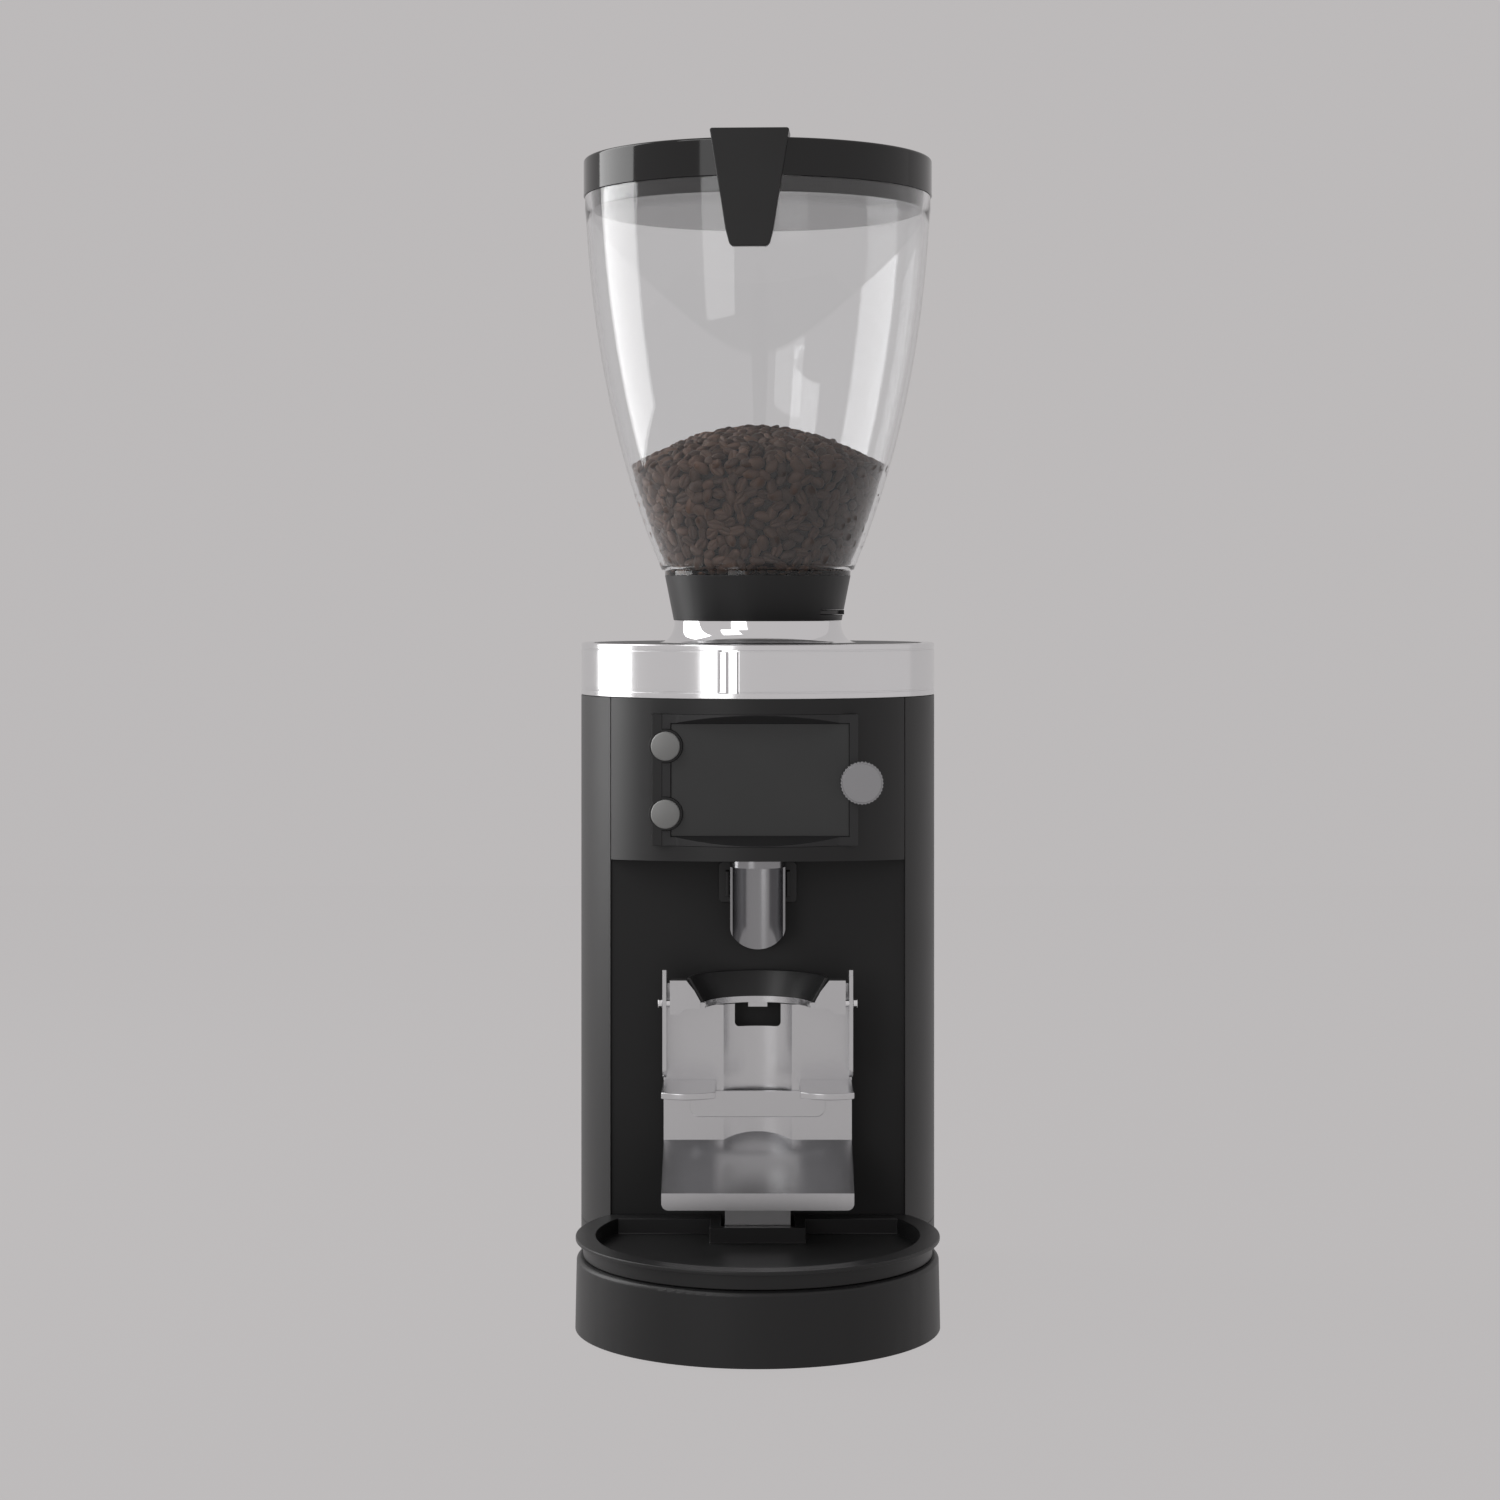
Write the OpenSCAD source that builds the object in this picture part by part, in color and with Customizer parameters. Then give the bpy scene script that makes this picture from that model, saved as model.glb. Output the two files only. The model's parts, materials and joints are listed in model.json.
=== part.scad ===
// On-demand espresso grinder: flat burrs over a vertical motor, a clear hopper above the
// adjusting ring, and a height-set holder for the filter handle in the niche below.
// Built about the burr axis and set so that z = 0 is the worktop under the centre.

/* [Body] */
// Radius of the body front and of the ring on it
body_r = 120; // [118:0.5:124]
// Burr axis to the rear face
body_back = 124; // [122:1:132]
// Radius of the two rear corners
corner_r = 38; // [30:1:44]
// Sheet thickness of the side panels, rear cover and head
shell_t = 3; // [2.5:0.25:3.5]
// Width of each column beside the niche
column_w = 23; // [21:0.5:26]
// Burr axis to the front of the niche panel
niche_depth = 68; // [67:0.5:71]
// Thickness of the niche panel
niche_panel_t = 2; // [1.5:0.25:3]
// Height of the display head under the ring
head_h = 104.5; // [100:0.5:112]
// Upward slope of the head's underside towards the front, degrees
head_slope = 3; // [0:0.5:4]
// Thickness of the head's floor at its front
head_floor_t = 3.3; // [3:0.1:5]
// Thickness of the top deck
deck_t = 6; // [5:0.5:8]

/* [Base] */
// Gap that the rubber feet leave under the base
foot_h = 2; // [2:0.5:4]
// Radius of each rubber foot
foot_r = 12; // [8:1:15]
// Height of the base casting
base_h = 46; // [40:1:52]
// How much narrower the round base is than the body, at its foot
base_inset = 3.6; // [3:0.2:8]
// How much narrower the round base is at its top
base_taper = 0.9; // [0:0.1:2]
// Rounding of the base's top edge
base_edge_r = 3; // [1:0.5:4]
// Centre of the round base in front of the burr axis
base_fwd = 133; // [128:0.5:138]
// Wall of the base casting
base_wall = 5; // [4:0.5:7]
// Thickness of the cover under the base
bottom_t = 2; // [1.5:0.5:3]

/* [Catch tray] */
// How far the tray's rim stays inside the base's foot
tray_inset = 0.2; // [0.2:0.1:2]
// Height of the tray
tray_h = 12.1; // [10:0.1:14]
// Thickness of the overhanging rim
rim_t = 2.5; // [2:0.25:3]
// Overhang of the rim past the tray's wall
rim_over = 4.8; // [3:0.2:6]
// Width of the flat rim beside the dish
rim_w = 13; // [11:0.5:16]
// Thickness of the tray's floor
tray_floor = 2; // [1.5:0.25:3]

/* [Adjusting ring and burrs] */
// Height of the ring's lower edge over the worktop
ring_z = 401.2; // [398:0.2:410]
// Height of the adjusting ring
ring_h = 35; // [33:0.5:38]
// Wall of the adjusting ring
ring_wall = 8; // [7:0.5:9]
// Depth of the two turned grooves round the ring
groove_d = 0.8; // [0.4:0.1:1.2]
// Angle of the ring's rib from the front, degrees to the left
rib_angle = 9.6; // [0:0.2:15]
// Diameter of the burrs
burr_d = 80; // [76:1:83]
// Thickness of each burr
burr_t = 8; // [7:0.5:9]
// Gap between the burrs at rest
burr_gap = 0.5; // [0.4:0.05:0.8]
// Number of coarse cutting grooves in each burr
burr_teeth = 18; // [12:1:20]
// Radius of the thread between the upper carrier and the chamber
thread_r = 62; // [60:0.5:63]
// Wall of the grinding chamber
chamber_wall = 8; // [6:0.5:9]
// Motor shaft radius
shaft_r = 8.5; // [7:0.5:9]
// Radius of the motor
motor_r = 58; // [52:1:60]
// Height of the motor
motor_h = 135; // [120:5:160]

/* [Hopper and lid] */
// Rim radius of the clear hopper
hopper_r = 117; // [112:0.5:117]
// Height of the hopper's rim over the worktop
hopper_top = 738.5; // [720:0.5:750]
// Bulge point of the hopper's flowing outline: its radius
hopper_mid_r = 109.9; // [100:0.1:112]
// Bulge point of the hopper's flowing outline: its height over the neck
hopper_mid_h = 105.8; // [95:0.2:120]
// Radius of the hopper where it leaves the neck
hopper_low_r = 65.5; // [64.5:0.1:67]
// Wall of the clear hopper
hopper_wall = 3.5; // [3:0.1:4]
// Radius of the neck at its foot
neck_r = 57.2; // [56:0.2:58]
// Height of the neck
neck_h = 34.4; // [32:0.2:37]
// Radius of the bean throat
throat_r = 36; // [32:0.5:37]
// Height of the bean heap's crown over the neck's top
heap_h = 98; // [60:1:120]
// How far the lid stands out over the hopper's rim
lid_over = 1.5; // [1:0.1:2]
// Height of the lid over the hopper's rim
lid_h = 25.1; // [22:0.1:30]
// Thickness of the clip in front of the lid
clip_t = 5.5; // [4:0.5:7]
// Width of the lid's clip at its top
clip_w = 51.3; // [44:0.1:54]
// Height of the lid's clip
clip_h = 76.1; // [66:0.1:84]

/* [Display] */
// Depth of the flat screen behind the head's round front
screen_depth = 14; // [12:0.5:15]
// Width of the display bezel
bezel_w = 127; // [122:0.5:130]
// Height of the display bezel
bezel_h = 85; // [80:0.5:88]
// Width of the screen
screen_w = 115; // [106:0.5:116]
// Height of the screen
screen_h = 72.5; // [66:0.5:74]
// Height of the display's centre over the head's lower edge
display_rise = 51.8; // [50:0.2:53]
// Diameter of the two start buttons
button_d = 18.8; // [16:0.2:20]
// Distance between the two start buttons
button_gap = 43.9; // [40:0.1:46]
// Travel of a start button
button_travel = 1.5; // [1:0.1:1.6]
// Diameter of the menu knob
knob_d = 28; // [24:0.5:29]
// Number of ribs round the menu knob
knob_ribs = 36; // [24:2:44]

/* [Spout and holder] */
// Outer radius of the steel spout
spout_r = 18.2; // [16:0.2:18.4]
// Length of the spout below the head
spout_l = 62; // [50:0.5:66]
// Thickness of the holder's steel sheet
sheet_t = 2.5; // [2:0.25:2.75]
// Width of the holder
holder_w = 122.8; // [118:0.4:126]
// Height of the fork's upper face over the worktop
fork_z = 152; // [146:0.5:153]
// Inner radius of the holder's trough, for a standard 58 mm basket and its rim
trough_r = 33.5; // [33:0.25:34]
// Height of the trough over the fork
trough_h = 49; // [47:0.5:50]
// Length of the fork's two arms in front of the holder plate
fork_l = 60; // [54:1:66]
// Height of the half funnel above its ring
funnel_h = 16; // [12:0.5:17]
// Outward flare of the half funnel
funnel_flare = 9; // [5:0.5:9]
// Radius of the clamp's two pivot pins
pin_r = 2.5; // [2:0.25:3]

/* [Clearances] */
// Joint line between fixed panels
seam = 0.4; // [0.2:0.1:0.6]
// Gap between a moving piece and its seat
slip = 0.3; // [0.25:0.05:0.4]
// Radial clearance of a running fit
run = 0.05; // [0.03:0.01:0.08]

/* [Hidden] */
$fn = 96;

black = [0.05, 0.05, 0.055];
charcoal = [0.16, 0.16, 0.17];
satin = [0.3, 0.3, 0.31];
steel = [0.75, 0.75, 0.76];
chrome = [0.85, 0.85, 0.86];
light_grey = [0.78, 0.78, 0.78];
copper = [0.72, 0.45, 0.2];
bean_brown = [0.3, 0.18, 0.1];
clear = [0.85, 0.87, 0.88, 0.35];
green = [0.1, 0.35, 0.2];
tiny = 0.01;
far = 400;
// How far a cutting shape runs past the face that it cuts
over = 1;

niche_half = body_r - column_w;
base_r = body_r - base_inset;
tray_r = base_r - tray_inset;
lid_r = hopper_r + lid_over;

// The origin lies midway between the base's front and the rear face
burr_y = (base_fwd + base_r - body_back) / 2;
base_top = foot_h + base_h;
head_z = ring_z - head_h;
deck_top = ring_z - slip;
deck_z = deck_top - deck_t;
rear_half = body_r - corner_r;
ring_in = body_r - ring_wall;

// Everything below is drawn about the burr axis: x to the right, y to the rear
module at_burr() {
    translate([0, burr_y, 0]) children();
}

module both_sides() {
    children();
    mirror([1, 0, 0]) children();
}

// A tube along Z
module tube(r_out, r_in, z, h) {
    translate([0, 0, z]) difference() {
        cylinder(r = r_out, h = h);
        translate([0, 0, -over]) cylinder(r = r_in, h = h + 2 * over);
    }
}

// A cylinder along Y from y to y + l, centred on (x, z)
module rod_y(r, x, y, z, l) {
    translate([x, y + l, z]) rotate([90, 0, 0]) cylinder(r = r, h = l);
}

// A cylinder along X from x to x + l, centred on (y, z)
module rod_x(r, x, y, z, l) {
    translate([x, y, z]) rotate([0, 90, 0]) cylinder(r = r, h = l);
}

// A box given by its two corners
module span(a, b) {
    translate(a) cube(b - a);
}

// A box with its corners rounded in the XZ plane, thick along Y
module plate_y(w, z0, z1, r, y, t) {
    translate([0, y + t, 0]) rotate([90, 0, 0]) linear_extrude(t) {
        translate([-w / 2, z0 + r]) square([w, z1 - z0 - 2 * r]);
        translate([-w / 2 + r, z0]) square([w - 2 * r, z1 - z0]);
        for (x = [-1, 1], z = [z0 + r, z1 - r]) translate([x * (w / 2 - r), z]) circle(r = r);
    }
}

// ---------------------------------------------------------------- body

// Outline of the body, drawn in by i: a round front with straight sides and rounded rear corners
module body_outline(i = 0) {
    circle(r = body_r - i);
    translate([-body_r + i, 0]) square([2 * (body_r - i), body_back - corner_r]);
    translate([-rear_half, 0]) square([2 * rear_half, body_back - i]);
    for (x = [-1, 1]) translate([x * rear_half, body_back - corner_r]) circle(r = corner_r - i);
}

// Outline of the base, drawn in by i: the body with the round foot in front
module base_outline(i = 0) {
    translate([0, -base_fwd]) circle(r = base_r - base_taper - i);
    body_outline(i);
}

module base_casting() {
    r_top = base_r - base_taper;
    color(black) at_burr() difference() {
        union() {
            translate([0, -base_fwd, foot_h]) rotate_extrude() {
                polygon([[0, 0], [base_r, 0], [r_top, base_h - base_edge_r],
                         [r_top - base_edge_r, base_h - base_edge_r], [0, base_h - base_edge_r]]);
                square([r_top - base_edge_r, base_h]);
                translate([r_top - base_edge_r, base_h - base_edge_r]) intersection() {
                    circle(r = base_edge_r);
                    square(base_edge_r);
                }
            }
            translate([0, 0, foot_h]) linear_extrude(base_h) body_outline();
        }
        translate([0, 0, foot_h - over]) linear_extrude(base_h - base_wall + over) base_outline(base_wall);
        for (p = post_bolts) translate([p[0], p[1], foot_h]) cylinder(r = bolt_r + run, h = base_h + over);
    }
}

// Bolts that hold the holder's post down on the base
bolt_r = 3;
post_bolts = [[-12, -92], [12, -92]];

module bottom_plate() {
    color(charcoal) at_burr() translate([0, 0, foot_h]) linear_extrude(bottom_t)
        base_outline(base_wall + slip);
}

foot_front = base_fwd + 52;
foot_side_front = 72;
foot_side_rear = body_r - 34;
foot_rear = body_back - 30;

module rubber_feet() {
    color(black) at_burr() both_sides() {
        translate([foot_side_front, -foot_front, 0]) cylinder(r = foot_r, h = foot_h);
        translate([foot_side_rear, foot_rear, 0]) cylinder(r = foot_r, h = foot_h);
    }
}

// The right-hand column and side wall in one bent sheet; the left one mirrors it
module side_panel() {
    color(satin) at_burr() translate([0, 0, base_top]) linear_extrude(deck_z - base_top)
        difference() {
            body_outline();
            body_outline(shell_t);
            translate([-far, -far]) square([far + niche_half, far]);
            translate([-far, -tiny]) square([far + rear_half, far]);
        }
}

module left_side_panel() {
    mirror([1, 0, 0]) side_panel();
}

module right_side_panel() {
    side_panel();
}

vent_rows = 9;
vent_pitch = 9;
vent_w = 46;
vent_h = 3.6;
vent_x = 38;
vent_drop = 32.7;
vent_z = deck_z - vent_drop - vent_rows * vent_pitch;
inlet_rise = 48;
inlet_z = base_top + inlet_rise;
inlet_w = 76;
inlet_h = 34;
screw_x = rear_half - 8;
screw_margin = 12;
cover_screw_z = [base_top + screw_margin, (base_top + deck_z) / 2, deck_z - screw_margin];
screw_l = 4;

module rear_cover() {
    color(satin) at_burr() difference() {
        span([-rear_half + seam, body_back - shell_t, base_top], [rear_half - seam, body_back, deck_z]);
        for (i = [0:vent_rows - 1], x = [-1, 1])
            translate([x * vent_x - vent_w / 2, body_back - shell_t - over, vent_z + i * vent_pitch])
                cube([vent_w, shell_t + 2 * over, vent_h]);
        translate([-inlet_w / 2, body_back - shell_t - over, inlet_z - inlet_h / 2])
            cube([inlet_w, shell_t + 2 * over, inlet_h]);
        for (x = [-1, 1], z = cover_screw_z)
            rod_y(bolt_r + run, x * screw_x, body_back - shell_t - over, z, shell_t + 2 * over);
    }
}

module cover_screws() {
    color(charcoal) at_burr() for (x = [-1, 1], z = cover_screw_z)
        rod_y(bolt_r, x * screw_x, body_back - shell_t - screw_l, z, shell_t + screw_l);
}

// Flat black panel at the back of the niche
module niche_panel() {
    color(black) at_burr()
        span([-niche_half, -niche_depth, base_top], [niche_half, -niche_depth + niche_panel_t, head_z]);
}

// ---------------------------------------------------------------- display head

display_z = head_z + display_rise;
screen_x = 1.5;
bezel_left = screen_x - bezel_w / 2;
bezel_right = screen_x + bezel_w / 2;
screen_y = screen_depth - body_r;
bezel_front = screen_y - 1.5;
bezel_back = screen_y + 8;
glass_t = 3;
button_in = 2.4;
button_x = bezel_left + button_in;
button_rise = 0.1;
button_z = display_z + button_rise;
boss_wall = 1.5;
boss_r = button_d / 2 + boss_wall;
strip_w = 6.5;
strip_left = bezel_left - strip_w;
strip_front = screen_y - 2;
strip_back = screen_y + 14;
stem_r = 3;
knob_out = 2.2;
knob_drop = 1.5;
knob_x = bezel_right + knob_out;
knob_z = display_z - knob_drop;
bush_r = 5;
bush_end = screen_y - 1.8;
encoder_d = 8;
encoder_w = 14;
encoder_in = 16;
encoder_y = screen_y + encoder_in;
board_t = 2;
board_x = [-44, 52];
head_stock = 10;

module button_bosses(r, y0, y1) {
    for (z = [-1, 1]) rod_y(r, button_x, y0, button_z + z * button_gap / 2, y1 - y0);
}

module head_panel() {
    color(black) at_burr() difference() {
        intersection() {
            translate([0, 0, head_z - head_stock]) cylinder(r = body_r, h = deck_z - head_z + head_stock);
            span([-niche_half + seam, -far, 0], [niche_half - seam, -niche_depth, far * 2]);
        }
        intersection() {
            translate([0, 0, head_z + head_floor_t]) cylinder(r = body_r - shell_t, h = head_h);
            span([-niche_half + seam + shell_t, -far, 0], [niche_half - seam - shell_t, 0, far * 2]);
        }
        // The sloping underside, highest at the front
        translate([-far, -body_r, head_z]) rotate([-head_slope, 0, 0])
            translate([0, -far, -far]) cube([2 * far, 2 * far, far]);
        span([strip_left - seam, -far, display_z - bezel_h / 2 - seam / 2],
             [bezel_right + seam / 2, strip_back + over, display_z + bezel_h / 2 + seam / 2]);
        button_bosses(boss_r + seam / 2, -far / 2, strip_back + over);
        rod_y(bush_r + seam / 2, knob_x, -far / 2, knob_z, far / 2 + encoder_y);
        translate([0, -spout_y, 0]) cylinder(r = spout_r + seam / 2, h = far * 2);
    }
}

// Bevelled frame: its mitred faces run from the head's round front down to the flat screen
module display_bezel() {
    color(black) at_burr() difference() {
        union() {
            intersection() {
                translate([0, 0, display_z - bezel_h / 2]) cylinder(r = body_r, h = bezel_h);
                span([bezel_left, -far, 0], [bezel_right, bezel_back, far * 2]);
            }
            span([bezel_left, bezel_front, display_z - bezel_h / 2],
                 [bezel_right, bezel_back, display_z + bezel_h / 2]);
        }
        hull() {
            translate([screen_x - screen_w / 2, screen_y, display_z - screen_h / 2])
                cube([screen_w, tiny, screen_h]);
            translate([bezel_left, -body_r - 1, display_z - bezel_h / 2])
                cube([bezel_w, tiny, bezel_h]);
        }
        span([screen_x - screen_w / 2, screen_y - over, display_z - screen_h / 2],
             [screen_x + screen_w / 2, screen_y + glass_t, display_z + screen_h / 2]);
        button_bosses(boss_r + seam / 2, -far / 2, 0);
        rod_y(bush_r + seam / 2, knob_x, -far / 2, knob_z, far / 2);
    }
}

module display_screen() {
    color([0.1, 0.11, 0.11]) at_burr() difference() {
        span([screen_x - screen_w / 2, screen_y, display_z - screen_h / 2],
             [screen_x + screen_w / 2, screen_y + glass_t, display_z + screen_h / 2]);
        button_bosses(boss_r + seam / 2, -far / 2, 0);
        rod_y(bush_r + seam / 2, knob_x, -far / 2, knob_z, far / 2);
    }
}

module display_board() {
    color(green) at_burr() span([board_x[0], bezel_back, display_z - screen_h / 2],
                                [board_x[1], bezel_back + board_t, display_z + screen_h / 2]);
}

// Raised strip beside the bezel with a round boss behind each button
module button_strip() {
    color(charcoal) at_burr() difference() {
        union() {
            span([strip_left, strip_front, display_z - bezel_h / 2],
                 [bezel_left, strip_back, display_z + bezel_h / 2]);
            button_bosses(boss_r, strip_front, strip_back);
        }
        button_bosses(stem_r + run, -far / 2, 0);
    }
}

cap_front = screen_y - 7;
cap_root = 3;
dome_r = 34;

// A domed cap on a stem that runs in the strip's boss
module start_button(z) {
    r = button_d / 2;
    color(light_grey) at_burr() translate([button_x, 0, z]) rotate([90, 0, 0])
        rotate_extrude() {
            intersection() {
                translate([0, -strip_front + slip + button_travel]) square([r, far]);
                translate([0, -cap_front - dome_r]) circle(r = dome_r);
            }
            translate([0, -strip_back]) square([stem_r, strip_back - strip_front + cap_root]);
        }
}

module upper_button() {
    start_button(button_z + button_gap / 2);
}

module lower_button() {
    start_button(button_z - button_gap / 2);
}

module knob_encoder() {
    color(charcoal) at_burr() difference() {
        union() {
            span([knob_x - encoder_w / 2, encoder_y, knob_z - encoder_w / 2],
                 [knob_x + encoder_w / 2, encoder_y + encoder_d, knob_z + encoder_w / 2]);
            rod_y(bush_r, knob_x, bush_end, knob_z, encoder_y - bush_end);
        }
        rod_y(stem_r + run, knob_x, -far / 2, knob_z, far / 2);
    }
}

knob_front = screen_y - 12;
rib_depth = 0.7;
face_step = 1;
face_inset = 1.5;

module menu_knob() {
    r = knob_d / 2;
    back = bush_end - slip;
    points = [for (i = [0:2 * knob_ribs - 1])
        (i % 2 == 0 ? r : r - rib_depth) * [cos(180 * i / knob_ribs), sin(180 * i / knob_ribs)]];
    color(charcoal) at_burr() {
        translate([knob_x, back, knob_z]) rotate([90, 0, 0])
            linear_extrude(back - knob_front - face_step) polygon(points);
        rod_y(r - face_inset, knob_x, knob_front, knob_z, face_step);
        rod_y(stem_r, knob_x, back - tiny, knob_z, encoder_y + encoder_d - back);
    }
}

// ---------------------------------------------------------------- spout

spout_y = niche_depth + spout_r + slip;
spout_wall = 1.5;
spout_top = head_z + head_floor_t;
spout_end = head_z - spout_l;
spout_lip = 3;
spout_root = 6;

// Steel scoop: a tube under the head whose front is cut open and whose end is rounded
module spout() {
    color(steel) at_burr() intersection() {
        difference() {
            translate([0, -spout_y, 0]) tube(spout_r, spout_r - spout_wall, spout_end, spout_top - spout_end);
            span([-far, -far, 0], [far, -spout_y - spout_lip, head_z - spout_root]);
        }
        translate([0, far, spout_end]) rotate([90, 0, 0]) linear_extrude(2 * far) {
            translate([0, spout_r]) circle(r = spout_r);
            translate([-spout_r, spout_r]) square([2 * spout_r, far]);
        }
    }
}

plate_w = 51.4;
plate_drop = 31;
plate_top = head_z - 4;
plate_r = 3;
spout_plate_t = 2;
clip_in = spout_r + 0.5;
clip_wall = 2.5;
clip_deep = 4;

// Plate behind the spout, with an upright clip on each side of it
module spout_plate() {
    front = -niche_depth - spout_plate_t;
    color(charcoal) at_burr() difference() {
        union() {
            plate_y(plate_w, head_z - plate_drop, plate_top, plate_r, front, spout_plate_t);
            both_sides() span([clip_in, front - clip_deep, head_z - plate_drop + clip_deep],
                              [clip_in + clip_wall, front, head_z - 10]);
        }
        translate([0, -spout_y, 0]) cylinder(r = spout_r, h = far * 2);
    }
}

// ---------------------------------------------------------------- grinding chamber and motor

burr_r = burr_d / 2;
burr_hole = 22;
chamber_r = thread_r + chamber_wall;
chamber_top = ring_z + 6.8;
flange_w = 14;
flange_t = 6;
burr_drop = 43.2;
lower_burr_z = ring_z - burr_drop;
upper_burr_z = lower_burr_z + burr_t + burr_gap;
carrier_t = 8;
sweep_room = 5;
chamber_floor = lower_burr_z - carrier_t - sweep_room;
floor_t = 8;
shaft_gap = 2;
bearing_r = 20;
bearing_w = 12;
hub_r = 28;
hub_z = chamber_floor - floor_t - bearing_w;
port_w = 24;
port_z = chamber_floor + 3;
port_h = 22;
can_wall = 4;
can_top = hub_z;
can_z = can_top - motor_h;
cap_t = 14;
shaft_end = 30;
shaft_bottom = can_z - cap_t - shaft_end;

module grinding_chamber() {
    color(steel) at_burr() difference() {
        union() {
            translate([0, 0, chamber_floor - floor_t])
                cylinder(r = chamber_r, h = chamber_top - chamber_floor + floor_t);
            translate([0, 0, deck_z - flange_t]) cylinder(r = chamber_r + flange_w, h = flange_t);
            translate([0, 0, hub_z]) cylinder(r = hub_r, h = bearing_w + over);
        }
        translate([0, 0, chamber_floor]) cylinder(r = thread_r, h = far);
        translate([0, 0, hub_z - over]) cylinder(r = bearing_r, h = bearing_w + over);
        cylinder(r = shaft_r + shaft_gap, h = far);
        span([-port_w / 2, -far, port_z], [port_w / 2, 0, port_z + port_h]);
        for (a = [45:90:315]) rotate([0, 0, a]) translate([chamber_r + flange_w / 2, 0, 0])
            cylinder(r = bolt_r, h = far * 2);
    }
}

guide_gap = 0.1;
guide_t = 4;
guide_h = 3;

// Deck on the chamber, with a rim that guides the adjusting ring
module top_deck() {
    color(black) at_burr() {
        translate([0, 0, deck_z]) linear_extrude(deck_t) difference() {
            body_outline();
            circle(r = chamber_r + seam / 2);
        }
        tube(ring_in - guide_gap, ring_in - guide_t, deck_top, guide_h);
    }
}

race_t = 4;
race_step = 1;

// Ball bearing: its shields lie below the faces of its two races
module bearing(z) {
    at_burr() difference() {
        tube(bearing_r, shaft_r + run, z, bearing_w);
        for (side = [0, 1])
            tube(bearing_r - race_t, shaft_r + race_t, z + side * (bearing_w - race_step), race_step);
    }
}

module upper_bearing() {
    color(chrome) bearing(hub_z);
}

module lower_bearing() {
    color(chrome) bearing(can_z - bearing_w);
}

can_roof = 5;
fin_pitch = 30;
fin_out = 4;
fin_t = 3;
fin_end = 12;

module motor_housing() {
    color(charcoal) at_burr() difference() {
        union() {
            translate([0, 0, can_z]) cylinder(r = motor_r, h = motor_h);
            for (a = [fin_pitch / 2:fin_pitch:360]) rotate([0, 0, a])
                span([motor_r - over, -fin_t / 2, can_z + fin_end],
                     [motor_r + fin_out, fin_t / 2, can_top - fin_end]);
        }
        translate([0, 0, can_z - over]) cylinder(r = motor_r - can_wall, h = motor_h - can_roof + over);
        cylinder(r = shaft_r + shaft_gap, h = far * 2);
    }
}

coil_room = 20;
stator_z = can_z + coil_room;
stator_h = motor_h - 2 * coil_room - can_wall;
rotor_r = 32;
air_gap = 1;
rotor_end = 3;

module motor_stator() {
    color(copper) at_burr() tube(motor_r - can_wall, rotor_r + air_gap, stator_z, stator_h);
}

cap_vents = 6;
cap_vent_r = 8;
cap_vent_pcd = 38;

module motor_end_cap() {
    color(charcoal) at_burr() difference() {
        translate([0, 0, can_z - cap_t]) cylinder(r = motor_r, h = cap_t);
        translate([0, 0, can_z - bearing_w]) cylinder(r = bearing_r, h = bearing_w + over);
        cylinder(r = shaft_r + shaft_gap, h = far);
        for (i = [1:cap_vents]) rotate([0, 0, i * 360 / cap_vents]) translate([cap_vent_pcd, 0, 0])
            cylinder(r = cap_vent_r, h = far);
    }
}

nut_r = shaft_r + 4;
nut_h = 5;

// Shaft with the hexagonal nut that holds the lower burr's carrier
module motor_shaft() {
    color(steel) at_burr() {
        translate([0, 0, shaft_bottom]) cylinder(r = shaft_r, h = lower_burr_z - shaft_bottom);
        translate([0, 0, lower_burr_z]) cylinder(r = nut_r, h = nut_h, $fn = 6);
    }
}

module motor_rotor() {
    color(steel) at_burr() tube(rotor_r, shaft_r, stator_z + rotor_end, stator_h - 2 * rotor_end);
}

fan_r = 44;
fan_blades = 9;
fan_h = 12;
fan_disc_t = 3;
fan_z = shaft_bottom + 2;
vane_in = shaft_r + 6;
vane_t = 2;

module cooling_fan() {
    color(black) at_burr() {
        tube(fan_r, shaft_r, fan_z, fan_disc_t);
        for (i = [0:fan_blades - 1]) rotate([0, 0, i * 360 / fan_blades])
            span([vane_in, -vane_t / 2, fan_z + 2], [fan_r, vane_t / 2, fan_z + 2 + fan_h]);
    }
}

// ---------------------------------------------------------------- burrs

// One burr, teeth up, its back on z = 0: a dished face with coarse breaking grooves near the bore
// and fine milling grooves at the rim
module burr_blank() {
    rotate_extrude() polygon([[burr_hole, 0], [burr_r, 0], [burr_r, burr_t], [burr_r - mill_w, burr_t],
                              [burr_hole, burr_t - burr_dish]]);
}

burr_dish = 3;
mill_w = 8;
groove_w = 3.6;
groove_deep = 0.8;
groove_rake = 7;
groove_side = 6;
fine_w = 1.2;
fine_deep = 0.8;
fine_side = -7;
burr_screws = 3;
burr_screw_turn = 10;
screw_pcd = burr_r - 6;

module burr() {
    difference() {
        burr_blank();
        for (i = [0:burr_teeth - 1]) rotate([0, 0, i * 360 / burr_teeth]) {
            // Coarse groove, raked to the side and deepest at the bore
            translate([0, groove_side, burr_t - groove_deep]) rotate([0, groove_rake, 0]) rotate([90, 0, 90])
                linear_extrude(burr_r - mill_w / 2)
                    polygon([[0, 0], [groove_w, burr_dish], [groove_w, burr_t + over], [0, burr_t + over]]);
            // Fine groove out to the rim
            translate([burr_r - mill_w - over, fine_side, burr_t]) rotate([90, 0, 90])
                linear_extrude(2 * mill_w) polygon([[0, -fine_deep], [fine_w, over], [0, over]]);
        }
        burr_screw_places() translate([0, 0, -over]) cylinder(r = screw_r, h = burr_t + 2 * over);
    }
}

screw_r = 2.2;
screw_sunk = 1.5;

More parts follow.
